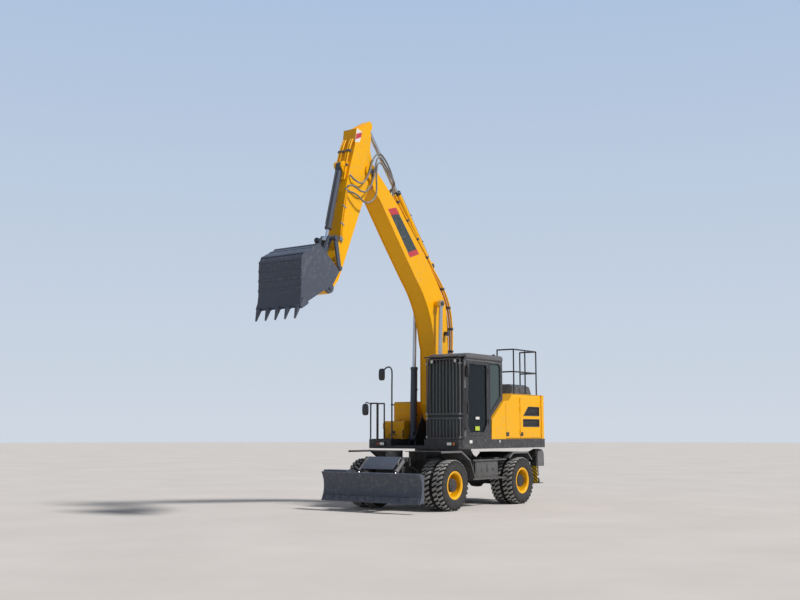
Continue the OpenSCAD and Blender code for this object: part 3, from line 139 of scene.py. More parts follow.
def add_floor():
    bm = bmesh.new()
    bmesh.ops.create_circle(bm, cap_ends=True, segments=96, radius=FLOOR_R)
    floor = add_mesh("floor", bm, floor_material())
    floor.location = (0, 0, -0.001)


def add_sky(scene):
    """A sky that is pale where it is seen and lights the object at a lower level."""
    world = bpy.data.worlds.new("sky")
    scene.world = world
    world.use_nodes = True
    nodes, links = world.node_tree.nodes, world.node_tree.links
    seen = nodes["Background"]
    kinds = ("TexCoord", "SeparateXYZ", "ValToRGB", "LightPath", "MixShader", "Background")
    coord, split, ramp, path, mix, light = (nodes.new("ShaderNode" + kind) for kind in kinds)
    links.new(coord.outputs["Generated"], split.inputs[0])
    links.new(split.outputs["Z"], ramp.inputs["Fac"])
    for stop, position, colour in zip(ramp.color_ramp.elements, (0.0, 0.5), (HORIZON, ZENITH)):
        stop.position = position
        stop.color = (*colour, 1)
    links.new(ramp.outputs["Color"], seen.inputs["Color"])
    seen.inputs["Strength"].default_value = 1.0
    light.inputs["Color"].default_value = (*SKY_TINT, 1)
    light.inputs["Strength"].default_value = SKY_LIGHT
    sees_sky = path.outputs["Is Camera Ray"]
    for ray in ("Is Glossy Ray", "Is Transmission Ray"):
        either = nodes.new("ShaderNodeMath")
        either.operation = "MAXIMUM"
        links.new(sees_sky, either.inputs[0])
        links.new(path.outputs[ray], either.inputs[1])
        sees_sky = either.outputs[0]
    links.new(sees_sky, mix.inputs[0])
    links.new(light.outputs[0], mix.inputs[1])
    links.new(seen.outputs[0], mix.inputs[2])
    links.new(mix.outputs[0], nodes["World Output"].inputs["Surface"])


def add_lamps(scene):
    for name, way, power, colour, spread in LAMPS:
        lamp = bpy.data.lights.new(name, "SUN")
        lamp.energy = power
        lamp.color = colour
        lamp.angle = math.radians(spread)
        o = bpy.data.objects.new(name, lamp)
        scene.collection.objects.link(o)
        o.rotation_euler = Vector((way[0], -way[1], way[2])).to_track_quat("Z", "Y").to_euler()


def make_stage():
    scene = bpy.context.scene
    add_camera(scene)
    add_floor()
    add_sky(scene)
    add_lamps(scene)
    scene.view_settings.view_transform = "Standard"
    scene.view_settings.look = "None"


# Materials
class Graph:
    """A material's nodes with short calls, most of which return an output socket."""

    def __init__(self, name):
        self.material = bpy.data.materials.new(name)
        self.material.use_nodes = True
        self.tree = self.material.node_tree
        self.shader = self.tree.nodes["Principled BSDF"]

    def feed(self, socket, value):
        """Gives a socket another one's output, a colour or a number."""
        if hasattr(value, "node"):
            self.tree.links.new(value, socket)
        else:
            socket.default_value = (*value, 1) if socket.type == "RGBA" else value

    def node(self, kind, inputs, **values):
        n = self.tree.nodes.new("ShaderNode" + kind)
        for key, value in values.items():
            setattr(n, key, value)
        for key, value in inputs.items():
            self.feed(n.inputs[key], value)
        return n

    def place(self):
        """Object coordinates, which ride with the piece."""
        return self.node("TexCoord", {}).outputs["Object"]

    def texture(self, kind, inputs, **values):
        return self.node("Tex" + kind, {"Vector": self.place(), **inputs}, **values).outputs

    def split(self):
        return self.node("SeparateXYZ", {0: self.place()}).outputs

    def noise(self, scale, detail=3.0, rough=0.5):
        return self.texture("Noise", {"Scale": scale, "Detail": detail, "Roughness": rough})["Fac"]

    def ramp(self, fac, *stops):
        n = self.node("ValToRGB", {"Fac": fac})
        for e, (position, level) in zip(n.color_ramp.elements, stops):
            e.position = position
            e.color = (level, level, level, 1)
        return n.outputs["Color"]

    def cloud(self, scale, detail, rough, *stops):
        return self.ramp(self.noise(scale, detail, rough), *stops)

    def mix(self, fac, a, b):
        """A mix of colours, whose sockets are the 7th and 8th of the node and its third output."""
        return self.node("Mix", {0: fac, 6: a, 7: b}, data_type="RGBA").outputs[2]

    def maths(self, operation, *values):
        return self.node("Math", dict(enumerate(values)), operation=operation).outputs[0]

    def bump(self, height, strength, distance):
        n = self.node("Bump", {"Strength": strength, "Distance": distance, "Height": height})
        self.set(Normal=n.outputs["Normal"])

    def set(self, **values):
        for key, value in values.items():
            self.feed(self.shader.inputs[key.replace("_", " ")], value)


def height_dust(g, low, high, amount):
    """Dust that lies thicker towards the ground, broken up by noise."""
    span = {"Value": g.split()["Z"], "From Min": high, "From Max": low, "To Min": 0.0, "To Max": amount}
    level = g.node("MapRange", span).outputs[0]
    return g.maths("MULTIPLY", level, g.cloud(3.0, 6.0, 0.65, (0.35, 0.15), (0.7, 1.0)))


def paint(name, colour, rough=0.5, coat=0.1, dust=0.18, mottle=0.05, shine=0.35):
    """Sprayed paint: slight cloudiness, orange peel, dust low down and rubbed edges."""
    g = Graph(name)
    dark = tuple(c * (1 - 2 * mottle) for c in colour)
    base = g.mix(g.cloud(0.9, 5.0, 0.6, (0.3, 0.0), (0.7, 1.0)), dark, colour)
    edge = g.ramp(g.node("NewGeometry", {}).outputs["Pointiness"], (0.52, 0.0), (0.6, 1.0))
    rub = g.maths("MULTIPLY", edge, g.cloud(14.0, 5.0, 0.7, (0.5, 0.0), (0.62, 0.5)))
    base = g.mix(rub, base, tuple(min(1.0, c * 0.6 + 0.12) for c in colour))
    dirt = height_dust(g, 0.1, 2.2, dust)
    base = g.mix(dirt, base, (0.34, 0.31, 0.27))
    g.set(Base_Color=base, Specular_IOR_Level=shine, Coat_Weight=coat, Coat_Roughness=0.4)
    g.set(Roughness=g.cloud(2.2, 6.0, 0.6, (0.3, rough * 0.92), (0.75, min(1.0, rough * 1.2))))
    g.bump(g.noise(420.0, 2.0, 0.5), 0.05, 0.0006)
    return g.material


def film(name, colour, rough=0.35, coat=0.2, mottle=0.04):
    """A foil stuck on, which shines more than paint."""
    return paint(name, colour, rough, coat, 0.1, mottle, 0.5)


def axle_radius(g):
    """Distance from the nearer axle in metres."""
    out = g.split()
    y = g.maths("SUBTRACT", g.maths("ABSOLUTE", g.maths("SUBTRACT", out["Y"], AXIS_Y)), AXLE_F / 1000)
    z = g.maths("SUBTRACT", out["Z"], TYRE_R / 1000)
    return g.maths("SQRT", g.maths("ADD", g.maths("MULTIPLY", y, y), g.maths("MULTIPLY", z, z)))


def tyre_material():
    """Grey walls, black grooves that are painted shade, and pale lug tops that are dust with a painted highlight,
    told apart by the distance from the axle.
    """
    g = Graph("rubber_of_tyres")
    r, wall, groove_shade_r, top = axle_radius(g), 0.476, 0.508, 0.516
    scuffs = g.cloud(7.0, 6.0, 0.7, (0.35, 0.0), (0.7, 1.0))
    base = g.mix(scuffs, (0.034, 0.033, 0.034), (0.060, 0.058, 0.058))
    # painted shade: from the walls out to the grooves the rubber turns near black
    base = g.mix(g.ramp(r, (wall, 0.0), (groove_shade_r, 1.0)), base, (0.013, 0.013, 0.014))
    # painted highlight with dust: the lug tops turn pale grey, standing in for the lit tread
    dust = g.cloud(26.0, 5.0, 0.7, (0.3, 0.65), (0.7, 1.0))
    dust = g.maths("MULTIPLY", g.ramp(r, (groove_shade_r, 0.0), (top, 1.0)), dust)
    base = g.mix(dust, base, (0.42, 0.415, 0.41))
    g.set(Base_Color=base, Roughness=g.cloud(30.0, 4.0, 0.6, (0.3, 0.62), (0.7, 0.86)))
    g.set(Specular_IOR_Level=0.3)
    g.bump(g.noise(260.0, 3.0, 0.6), 0.25, 0.0015)
    return g.material


def rod_material():
    g = Graph("chromed_steel")
    g.set(Base_Color=(0.50, 0.51, 0.54), Metallic=1.0)
    g.set(Roughness=g.cloud(60.0, 4.0, 0.6, (0.3, 0.24), (0.7, 0.36)))
    g.bump(g.noise(700.0, 1.0), 0.02, 0.0004)
    return g.material


def steel_material(name, colour, rough):
    g = Graph(name)
    stains = g.cloud(9.0, 6.0, 0.7, (0.35, 0.0), (0.7, 1.0))
    base = g.mix(stains, tuple(c * 0.7 for c in colour), colour)
    g.set(Base_Color=base, Metallic=0.75)
    g.set(Roughness=g.cloud(25.0, 5.0, 0.6, (0.3, rough * 0.8), (0.7, min(1.0, rough * 1.3))))
    g.bump(g.noise(180.0, 3.0), 0.12, 0.001)
    return g.material


def glass_material(name, tint, alpha):
    """Tinted pane: a thin sheet that lets part of the light straight through."""
    g = Graph(name)
    g.set(Base_Color=tint, Roughness=0.04, IOR=1.45, Specular_IOR_Level=0.25)
    g.set(Alpha=g.cloud(1.4, 3.0, 0.5, (0.3, alpha), (0.7, min(1.0, alpha + 0.06))))
    g.bump(g.noise(1.1, 1.0), 0.02, 0.01)
    return g.material


def cloth_material():
    g = Graph("seat_cloth")
    weave = g.texture("Wave", {"Scale": 260.0, "Distortion": 1.5})["Fac"]
    base = g.mix(weave, (0.022, 0.023, 0.026), (0.055, 0.057, 0.062))
    g.set(Base_Color=base, Roughness=0.92, Sheen_Weight=0.4)
    g.bump(weave, 0.4, 0.001)
    return g.material


def lens_material(name, colour, painted_glow):
    g = Graph(name)
    cells = g.texture("Voronoi", {"Scale": 90.0})["Distance"]
    base = g.mix(cells, colour, tuple(c * 0.6 for c in colour))
    # painted light: a faint glow in the lens colour, on lamp glasses and reflectors alike
    g.set(Base_Color=base, Roughness=0.08, Coat_Weight=0.6, Emission_Color=colour, Emission_Strength=painted_glow)
    g.bump(cells, 0.3, 0.002)
    return g.material


def floor_material():
    g = Graph("pale_concrete")
    clouds = g.cloud(0.35, 8.0, 0.6, (0.3, 0.0), (0.75, 1.0))
    base = g.mix(clouds, (0.62, 0.585, 0.56), (0.70, 0.665, 0.64))
    g.set(Base_Color=base, Roughness=0.85)
    g.bump(g.noise(60.0, 5.0), 0.12, 0.004)
    return g.material


def striped_film():
    """Black and yellow bands that lean."""
    way, pitch, share = (0.55, 0.45, 0.70), 0.055, 0.42
    g = Graph("black_and_yellow_film")
    run = g.node("VectorMath", {0: g.place(), 1: way}, operation="DOT_PRODUCT").outputs["Value"]
    turn = g.maths("FRACT", g.maths("MULTIPLY", run, 1 / pitch))
    base = g.mix(g.maths("GREATER_THAN", turn, share), (0.012, 0.012, 0.013), (0.86, 0.56, 0.01))
    base = g.mix(g.cloud(20.0, 5.0, 0.7, (0.5, 0.0), (0.75, 0.35)), base, (0.25, 0.22, 0.18))
    g.set(Base_Color=base, Roughness=g.cloud(9.0, 3.0, 0.5, (0.3, 0.3), (0.7, 0.5)))
    g.bump(g.noise(300.0, 2.0), 0.05, 0.0006)
    return g.material


def rim_material():
    """Amber dish with a dark hub, told apart by the distance from the axle."""
    g = Graph("rim_paint")
    dish = g.maths("GREATER_THAN", axle_radius(g), HUB_R / 1000)
    base = g.mix(dish, (0.026, 0.025, 0.029), (0.93, 0.475, 0.004))
    dirt = g.cloud(9.0, 6.0, 0.7, (0.55, 0.0), (0.85, 0.4))
    base = g.mix(dirt, base, (0.20, 0.14, 0.07))
    g.set(Base_Color=base, Specular_IOR_Level=0.35, Coat_Weight=0.1, Coat_Roughness=0.2)
    g.set(Roughness=g.cloud(5.0, 5.0, 0.6, (0.3, 0.3), (0.75, 0.5)))
    g.bump(g.noise(300.0, 2.0), 0.06, 0.0008)
    return g.material


def mesh_material():
    """Punched sheet in front of darkness, its holes not cut but painted near black as painted shade."""
    g = Graph("punched_sheet")
    cells = g.texture("Voronoi", {"Scale": 55.0, "Randomness": 0.0}, distance="CHEBYCHEV")["Distance"]
    # painted shade: the middles of the cells turn near black as holes
    painted_hole_shade = g.ramp(cells, (0.3, 0.0), (0.42, 1.0))
    g.set(Base_Color=g.mix(painted_hole_shade, (0.006, 0.006, 0.007), (0.075, 0.077, 0.082)), Roughness=0.6)
    g.bump(painted_hole_shade, 0.5, 0.003)
    return g.material


def hose_material():
    g = Graph("hose_rubber")
    weave = g.texture("Wave", {"Scale": 60.0}, bands_direction="DIAGONAL")["Fac"]
    wear = g.cloud(14.0, 5.0, 0.7, (0.4, 0.0), (0.75, 0.8))
    base = g.mix(wear, (0.16, 0.16, 0.163), (0.34, 0.335, 0.33))
    g.set(Base_Color=base, Roughness=g.cloud(40.0, 3.0, 0.5, (0.3, 0.5), (0.7, 0.68)))
    g.bump(weave, 0.15, 0.0008)
    return g.material


YELLOW = paint("amber_paint", (0.92, 0.455, 0.002), rough=0.36, coat=0.05, dust=0.06, mottle=0.015, shine=0.2)
CHARCOAL = paint("charcoal_paint", (0.034, 0.035, 0.040), coat=0.12, dust=0.14, mottle=0.03)
SLATE = paint("slate_paint", (0.072, 0.084, 0.118), coat=0.06, dust=0.04, mottle=0.04)
GREY = paint("grey_paint", (0.128, 0.125, 0.134), rough=0.52)
SMOKE = paint("smoke_paint", (0.078, 0.077, 0.084), rough=0.55, coat=0.12)
PALE = paint("pale_grey_paint", (0.075, 0.077, 0.082), rough=0.45, dust=0.2)
BLACK = paint("black_paint", (0.011, 0.011, 0.012), rough=0.38, coat=0.2, dust=0.15, mottle=0.1, shine=0.5)
HUB = paint("hub_paint", (0.036, 0.033, 0.038), coat=0.05, dust=0.2, mottle=0.1, shine=0.3)
RED = film("red_film", (0.55, 0.03, 0.04), coat=0.3)
PANEL = film("dark_film", (0.022, 0.035, 0.032), rough=0.3, coat=0.4, mottle=0.08)
LIME = film("lime_film", (0.52, 0.66, 0.03))
WHITE = film("white_film", (0.78, 0.78, 0.77))
BLACK_YELLOW = striped_film()
RUBBER = tyre_material()
RIM = rim_material()
CHROME = rod_material()
STEEL = steel_material("bare_steel", (0.42, 0.42, 0.43), 0.4)
SILVER = steel_material("mirror_silver", (0.85, 0.87, 0.9), 0.05)
GLASS = glass_material("dark_glass", (0.060, 0.086, 0.090), 0.88)
DOOR_GLASS = glass_material("clear_glass", (0.008, 0.014, 0.018), 0.66)
CLOTH = cloth_material()
MESH = mesh_material()
HOSE = hose_material()
# the last number of each lens is the strength of its painted glow
LENS = lens_material("lamp_glass", (0.85, 0.86, 0.84), 0.15)
WHITE_LENS = lens_material("white_reflector", (0.88, 0.88, 0.86), 0.1)
AMBER_LENS = lens_material("amber_lens", (0.80, 0.22, 0.01), 0.05)
RED_LENS = lens_material("red_lens", (0.55, 0.012, 0.01), 0.05)

# Looks of the CAD nodes, by their slots in the record and then by their names
SLOT_LOOKS = {
    "yellow_paint": YELLOW, "charcoal_paint": CHARCOAL, "slate_paint": SLATE, "grey_steel": GREY,
    "tyre_rubber": RUBBER, "chromed_rod": CHROME, "window_glass": GLASS, "seat_cloth": CLOTH,
    "lamp_lens": LENS,
}
NODE_LOOKS = {
    "rails": BLACK, "mirrors": BLACK, "engine_hood": SMOKE, "side_lockers": PALE, "arm_barrel": YELLOW,
    "door_glass": DOOR_GLASS,
}


def dress_nodes():
    """The looks of the CAD nodes."""
    slots = {s["node"]: s["material_slot"] for s in frame["record"]["subparts"]}
    for name, o in NODES.items():
        look = RIM if name.startswith("rims") else NODE_LOOKS.get(name, SLOT_LOOKS[slots[name]])
        o.data.materials.clear()
        o.data.materials.append(look)


# Shapes
def add_mesh(name, bm, material, body=None, smooth=None):
    mesh = bpy.data.meshes.new(name)
    bm.normal_update()
    bm.to_mesh(mesh)
    bm.free()
    mesh.materials.append(material)
    o = bpy.data.objects.new(name, mesh)
    bpy.context.scene.collection.objects.link(o)
    if smooth is not None:
        soften(mesh, smooth)
    if body:
        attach(o, body)
    return o


def soften(mesh, degrees):
    """Smooth faces with edges kept sharp above an angle."""
    bm = bmesh.new()
    bm.from_mesh(mesh)
    limit = math.radians(degrees)
    for face in bm.faces:
        face.smooth = True
    for edge in bm.edges:
        edge.smooth = len(edge.link_faces) == 2 and edge.calc_face_angle(0.0) < limit
    bm.to_mesh(mesh)
    bm.free()


def rect(a0, a1, b0, b1):
    return [(a0, b0), (a1, b0), (a1, b1), (a0, b1)]


def inset(points, d):
    """An outline moved inwards by d."""
    area = sum(a[0] * b[1] - b[0] * a[1] for a, b in zip(points, points[1:] + points[:1]))
    turn = d if area > 0 else -d
    out = []
    for i, p in enumerate(points):
        u = (Vector(p) - Vector(points[i - 1])).normalized()
        v = (Vector(points[(i + 1) % len(points)]) - Vector(p)).normalized()
        w = (u + v).normalized()
        out.append((p[0] - w.y * turn / w.dot(u), p[1] + w.x * turn / w.dot(u)))
    return out


def curve(points, steps):
    """A smooth line through points."""
    p = [Vector(q) for q in points]
    p = [2 * p[0] - p[1]] + p + [2 * p[-1] - p[-2]]
    out = []
    for i in range(1, len(p) - 2):
        a, b, c, d = p[i - 1:i + 3]
        for k in range(steps):
            t = k / steps
            square, cube = (2 * a - 5 * b + 4 * c - d) * t ** 2, (3 * b - a - 3 * c + d) * t ** 3
            out.append(0.5 * (2 * b + (c - a) * t + square + cube))
    return out + [p[-2]]


def circle(r, n, start=0.0):
    turns = [start + 2 * math.pi * i / n for i in range(n)]
    return [(r * math.cos(w), r * math.sin(w)) for w in turns]


def squircle(n, power, pinch=0.0):
    """A circle of radius 1 drawn out towards a square, its sides pulled in by a pinch."""
    points = []
    for c, s in circle(1, n):
        k = (abs(c) ** power + abs(s) ** power) ** (-1 / power) * (1 - pinch * (1 - abs(2 * c * s)))
        points.append((k * c, k * s))
    return points


def height_at(line, a):
    """Height of a line of (run, height) points at one run."""
    for (a0, b0), (a1, b1) in zip(line, line[1:]):
        if a0 <= a <= a1:
            return b0 + (b1 - b0) * (a - a0) / (a1 - a0)


ORDER = {"x": lambda a, b, c: (c, a, b), "f": lambda a, b, c: (a, c, b), "z": lambda a, b, c: (a, b, c)}


class Solid:
    """A mesh in the making, in millimetres, in the frame that put stands for."""

    def __init__(self, put=ground):
        self.bm = bmesh.new()
        self.put = put

    def loft(self, rings, closed=False):
        """A skin over rings of equal count, capped unless the last joins the first."""
        rows = [[self.bm.verts.new(self.put(*p)) for p in ring] for ring in rings]
        pairs = list(zip(rows, rows[1:])) + ([(rows[-1], rows[0])] if closed else [])
        faces = []
        for a, b in pairs:
            for i in range(-1, len(a) - 1):
                faces.append(self.bm.faces.new((a[i], a[i + 1], b[i + 1], b[i])))
        if not closed:
            faces += [self.bm.faces.new(rows[0]), self.bm.faces.new(rows[-1])]
        return faces

    def bevel(self, faces, r):
        bmesh.ops.recalc_face_normals(self.bm, faces=faces)
        edges = {e for f in faces for e in f.edges if e.calc_face_angle(0.0) > 0.4}
        bmesh.ops.bevel(
            self.bm, geom=list(edges), offset=r * 0.001, segments=2, affect="EDGES", profile=0.5,
            clamp_overlap=True,
        )

    def prism(self, points, lo, hi, axis="x", r=0.0):
        """An outline, [along, up] for x, [left, up] for f or [left, along] for z, pushed from lo to hi."""
        faces = self.loft([[ORDER[axis](*p, c) for p in points] for c in (lo, hi)])
        if r:
            self.bevel(faces, r)

    def box(self, x0, x1, f0, f1, z0, z1, r):
        self.prism(rect(x0, x1, f0, f1), z0, z1, "z", r)

    def border(self, points, width, lo, hi, axis="x"):
        """A mitred frame inside an outline."""
        order = ORDER[axis]
        rings = []
        for p, q in zip(points, inset(points, width)):
            rings.append([order(*p, lo), order(*p, hi), order(*q, hi), order(*q, lo)])
        self.loft(rings, closed=True)

    def tube(self, points, r, n, smooth=0):
        """A round bar along points, which smooth makes a curve of so many steps to each stretch."""
        path = curve(points, smooth) if smooth else [Vector(p) for p in points]
        side = (path[1] - path[0]).orthogonal().normalized()
        rings = []
        for i, p in enumerate(path):
            t = (path[min(i + 1, len(path) - 1)] - path[max(i - 1, 0)]).normalized()
            side = (side - t * side.dot(t)).normalized()
            up = t.cross(side)
            rings.append([p + side * a + up * b for a, b in circle(r, n)])
        self.loft(rings)
        return path

    def lathe(self, base, way, profile, n, closed=False):
        """A revolve: profile gives [distance along way, radius]."""
        base, way = Vector(base), Vector(way).normalized()
        side = way.orthogonal().normalized()
        up = way.cross(side)
        self.loft([[base + way * t + side * a + up * b for a, b in circle(r, n)] for t, r in profile], closed)

    def bolt(self, base, way, r, h):
        """A washer and a hexagon's head."""
        self.lathe(base, way, [(-1, r * 1.5), (2, r * 1.5), (2.5, r * 1.45)], 14)
        self.lathe(base, way, [(1, r), (h - 1.5, r), (h, r * 0.86)], 6)

    def pillow(self, x0, x1, a0, a1, b0, b1, crown):
        """A stuffed block, round at its corners, crowned on top and pulled in between the corners."""
        cx, ca = (x0 + x1) / 2, (a0 + a1) / 2
        hx, ha = (x1 - x0) / 2, (a1 - a0) / 2
        rings = []
        for t, scale, lift in (
            (0.0, 0.86, 0), (0.1, 0.96, 0), (0.35, 1.0, 0), (0.5, 0.985, 0), (0.65, 1.0, 0),
            (0.88, 0.965, 0), (0.98, 0.88, 0), (1.0, 0.72, 0.35), (1.0, 0.45, 0.75), (1.0, 0.15, 1.0),
        ):
            b = b0 + (b1 - b0 - crown) * t + crown * lift
            rings.append([(cx + hx * scale * u, ca + ha * scale * v, b) for u, v in squircle(48, 5, 0.018)])
        self.loft(rings)

    def piece(self, name, body, material, smooth=35, replaces=()):
        """Ends a piece and starts the next one in the same frame."""
        bmesh.ops.recalc_face_normals(self.bm, faces=self.bm.faces)
        o = add_mesh(name, self.bm, material, body, smooth)
        self.bm = bmesh.new()
        if replaces:
            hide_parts(*replaces)
        return o


# Wheels
LUGS = 30
LUG_LEAN = 0.125  # radians from the middle of the tread to its shoulder
LUG_REACH = 134


def tyre(s, side, x, f):
    """A tyre about its axle: casing, then bars that run from the middle over each shoulder."""
    half = [
        (6, 497), (62, 497), (96, 494), (113, 484), (122, 466), (129, 446), (137, 424), (139, 398),
        (136, 352), (133, 330), (130, 326), (129, 319), (126, 322), (124, 306), (109, 277), (96, 262),
        (92, 255),
    ]
    casing = [(-a, b) for a, b in reversed(half)] + half
    s.lathe((x, f, TYRE_R), (side, 0, 0), casing, 104, closed=True)
    for i in range(2 * LUGS):
        hand = 1 if i % 2 else -1
        rings = []
        for t, drop in ((3, 0), (58, 0), (98, 0), (116, 6.5), (126, 22.5), (LUG_REACH, 53.5), (136.5, 81.5)):
            mid = (i + 0.5) * math.pi / LUGS + hand * LUG_LEAN * t / LUG_REACH
            top = TYRE_R - drop
            low = top - (36 if t < 120 else 16)
            wide = 28 if t < 60 else 31
            half_bar = [(wide + 6, low), (wide, top - 6), (wide - 5, top)]
            bar = [(-w, h) for w, h in half_bar] + half_bar[::-1]
            turns = [(mid + w / TYRE_R, h) for w, h in bar]
            left = x + side * hand * t
            rings.append([(left, f + h * math.sin(w), TYRE_R - h * math.cos(w)) for w, h in turns])
        s.loft(rings)


def wheel_pair(place, side, f):
    body, way = "wheels_" + place, (side, 0, 0)

    def hub(x, a=0.0, b=0.0):
        """A place outwards, forward and up of the middle of the pair."""
        return side * (TWIN_X + x), f + a, TYRE_R + b

    s = Solid()
    for k in (-1, 1):
        tyre(s, side, side * (TWIN_X + k * TWIN_HALF), f)
    s.piece(f"tyres_{place}_lugged", body, RUBBER, 28, [f"tyres_{place}"])
    for a, b in circle(172, 10):
        s.lathe(hub(15, a, b), way, [(0, 19), (4, 19), (6, 14)], 16)
        s.lathe(hub(20, a, b), way, [(0, 15), (16, 15), (19, 11)], 6)
        s.lathe(hub(20, a, b), way, [(0, 8.5), (30, 8.5), (32, 6)], 10)
    s.piece(f"wheel_nuts_{place}", body, STEEL)
    drum = [(110, 120), (112, 139), (222, 139), (232, 133), (236, 120), (237, 46), (244, 42), (246, 8)]
    s.lathe(hub(0), way, drum, 40)
    for a, b in circle(98, 10):
        s.bolt(hub(235, a, b), way, 8, 9)
    s.piece(f"hub_drum_{place}", body, HUB)
    ring = [(100, 262), (117, 266), (121, 274), (122, 288), (117, 297), (108, 297), (103, 284), (98, 270)]
    s.lathe(hub(TWIN_HALF), way, ring, 64, closed=True)
    s.piece(f"rim_flange_{place}", body, RIM)
    s.tube([hub(60, 0, 232), hub(130, 0, 226), hub(168, 0, 214)], 6, 8, 4)
    s.piece(f"valve_{place}", body, STEEL)


def wheels():
    for end, f in (("front", AXLE_F), ("rear", -AXLE_F)):
        for hand, side in HANDS:
            wheel_pair(f"{end}_{hand}", side, f)


# Engine house
DOOR_X = 1231.3  # outer face of the service doors
LATCH_Z = 1585
VENTS = (
    [(-1765, 2215), (-1545, 2015), (-2290, 2015), (-2290, 2215)],
    [(-1520, 1925), (-1520, 1760), (-2290, 1760), (-2290, 1925)],
)
SLAT_PITCH = 26


def door_vents(body, side):
    frames, slats, back = Solid(), Solid(), Solid()
    for v in VENTS:
        frames.border(inset(v, -9), 17, side * (DOOR_X - 6), side * (DOOR_X + 3))
        back.prism(inset(v, -24), side * 1186, side * 1190)
        bottom, top = v[1][1], v[0][1]
        count = int((top - bottom) / SLAT_PITCH)
        for i in range(count):
            share = (i + 0.6) / count
            z = bottom + (top - bottom) * share
            front = v[1][0] + (v[0][0] - v[1][0]) * share + 12
            ring = [(side * 1196, z + 8), (side * 1226, z - 7), (side * 1226, z - 10), (side * 1196, z + 5)]
            slats.loft([[(x, f, up) for x, up in ring] for f in (-2300, front)])
    frames.piece(body + "_vent_frames", body, CHARCOAL)
    slats.piece(body + "_louvres", body, SMOKE)
    back.piece(body + "_vent_mesh", body, MESH)


def door_latch(body, side, f):
    z = LATCH_Z
    latch, handle = Solid(), Solid()
    latch.border(rect(f - 62, f + 62, z - 44, z + 44), 14, side * DOOR_X, side * (DOOR_X + 4))
    latch.prism(rect(f - 50, f + 50, z - 34, z + 34), side * DOOR_X, side * (DOOR_X + 1.5))
    paddle = [(f - 40, z - 20), (f + 34, z - 24), (f + 34, z + 24), (f - 40, z + 20)]
    handle.prism(paddle, side * (DOOR_X + 1), side * (DOOR_X + 9), r=3)
    handle.lathe((side * (DOOR_X + 2), f + 38, z), (side, 0, 0), [(0, 9), (8, 9), (9, 6)], 16)
    latch.piece(body + "_latch", body, BLACK)
    handle.piece(body + "_latch_paddle", body, CHARCOAL)


def service_doors():
    rear = (("left_rear_door", 1), ("right_door", -1))
    for body, side in rear:
        door_vents(body, side)
    for body, side in rear:
        door_latch(body, side, -1450)
    door_latch("left_front_door", 1, -800)


def joint_strip():
    """Ribbed strip in the joint between the cab and the fairing."""
    start, end = Vector((-128, 1926)), Vector((-600, 2304))
    length = (end - start).length
    s = Solid(along(start, end - start))
    s.box(1120, 1212, 0, length, 6, 40, 2)
    for i in range(11):
        a = 24 + (length - 48) * i / 10
        s.box(1206, 1222, a - 12, a + 12, 4, 42, 3)
    s.piece("joint_strip", "upper", BLACK)


def house_trim():
    joint_strip()
    # hinge covers on the tail and bolts along the skirts
    s = Solid()
    for x in (-900, 900):
        s.lathe((x, -2520, 2506), (0, 0, 1), [(0, 62), (4, 62), (6, 40)], 28)
    for f in range(-2300, 1101, 340):
        for side in (-1, 1):
            s.bolt((side * 1250, f, 1312), (side, 0, 0), 9, 7)
    s.piece("skirt_bolts", "upper", CHARCOAL)
    half = [(-50, 2500), (-50, 2540), (-20, 2574)]
    eye = half + [(-x, z) for x, z in reversed(half)]
    for middle in (-560, 560):
        s.tube([(middle + x, -2690, z) for x, z in eye], 13, 12, 5)
    s.piece("lifting_eyes", "upper", YELLOW)
    # round plugs over the counterweight's bolts
    for x in (-700, 700):
        s.lathe((x, -2685, 1700), (0, -1, 0), [(-20, 46), (4, 46), (7, 40), (7.5, 12)], 32)
    s.piece("tail_plugs", "upper", CHARCOAL)
    for colour, material, x0, x1 in (("red", RED_LENS, 905, 1010), ("amber", AMBER_LENS, 1014, 1060)):
        for side in (-1, 1):
            lamp = [(side * x0, -2640), (side * x1, -2612), (side * x1, -2560), (side * x0, -2560)]
            s.prism(lamp, 1560, 1625, "z", 5)
        s.piece("tail_lamps_" + colour, "upper", material)


HOOD_TOP = 2745


def hood_grille():
    s = Solid()
    for i in range(14):
        f = -2250 + i * 52
        s.prism(rect(-640, 800, f - 17, f + 17), HOOD_TOP - 1, HOOD_TOP + 3, "z")
    s.piece("hood_mesh", "engine_hood", MESH)
    s.border(rect(-680, 840, -2284, -1536), 16, HOOD_TOP - 1, HOOD_TOP + 8, "z")
    for x in (-300, 80, 460):
        s.box(x - 7, x + 7, -2270, -1550, HOOD_TOP - 1, HOOD_TOP + 7, 2)
    s.tube([(700, -1440, 2612), (700, -1398, 2626), (800, -1398, 2626), (800, -1440, 2612)], 8, 10, 3)
    s.piece("hood_frame", "engine_hood", CHARCOAL)


# Deck
DECK_TOP = 1480
# Name, look and boxes of the lamps and reflectors on the edge of the deck
EDGE_LAMPS = (
    ("reflectors", WHITE_LENS, [
        (1249, 1254, 740, 850, 1392, 1456), (1249, 1254, -440, -400, 1400, 1456),
        (-1254, -1249, 740, 850, 1392, 1456),
    ]),
    ("front_lamps_white", LENS, [(902, 1012, 1196, 1208, 1352, 1412), (-885, -770, 1196, 1208, 1346, 1406)]),
    ("front_lamps_amber", AMBER_LENS, [(1046, 1104, 1172, 1208, 1350, 1412)]),
    ("front_lamps_red", RED_LENS, [(-972, -905, 1190, 1208, 1346, 1406)]),
)


def edge_lamps():
    s = Solid()
    for name, material, boxes in EDGE_LAMPS:
        for b in boxes:
            s.box(*b, r=4)
        s.piece(name, "upper", material)
    for x0, x1 in ((886, 1118), (-986, -756)):
        s.border(rect(x0, x1, 1334, 1424), 12, 1180, 1212, "f")
    s.piece("front_lamp_frames", "upper", BLACK)


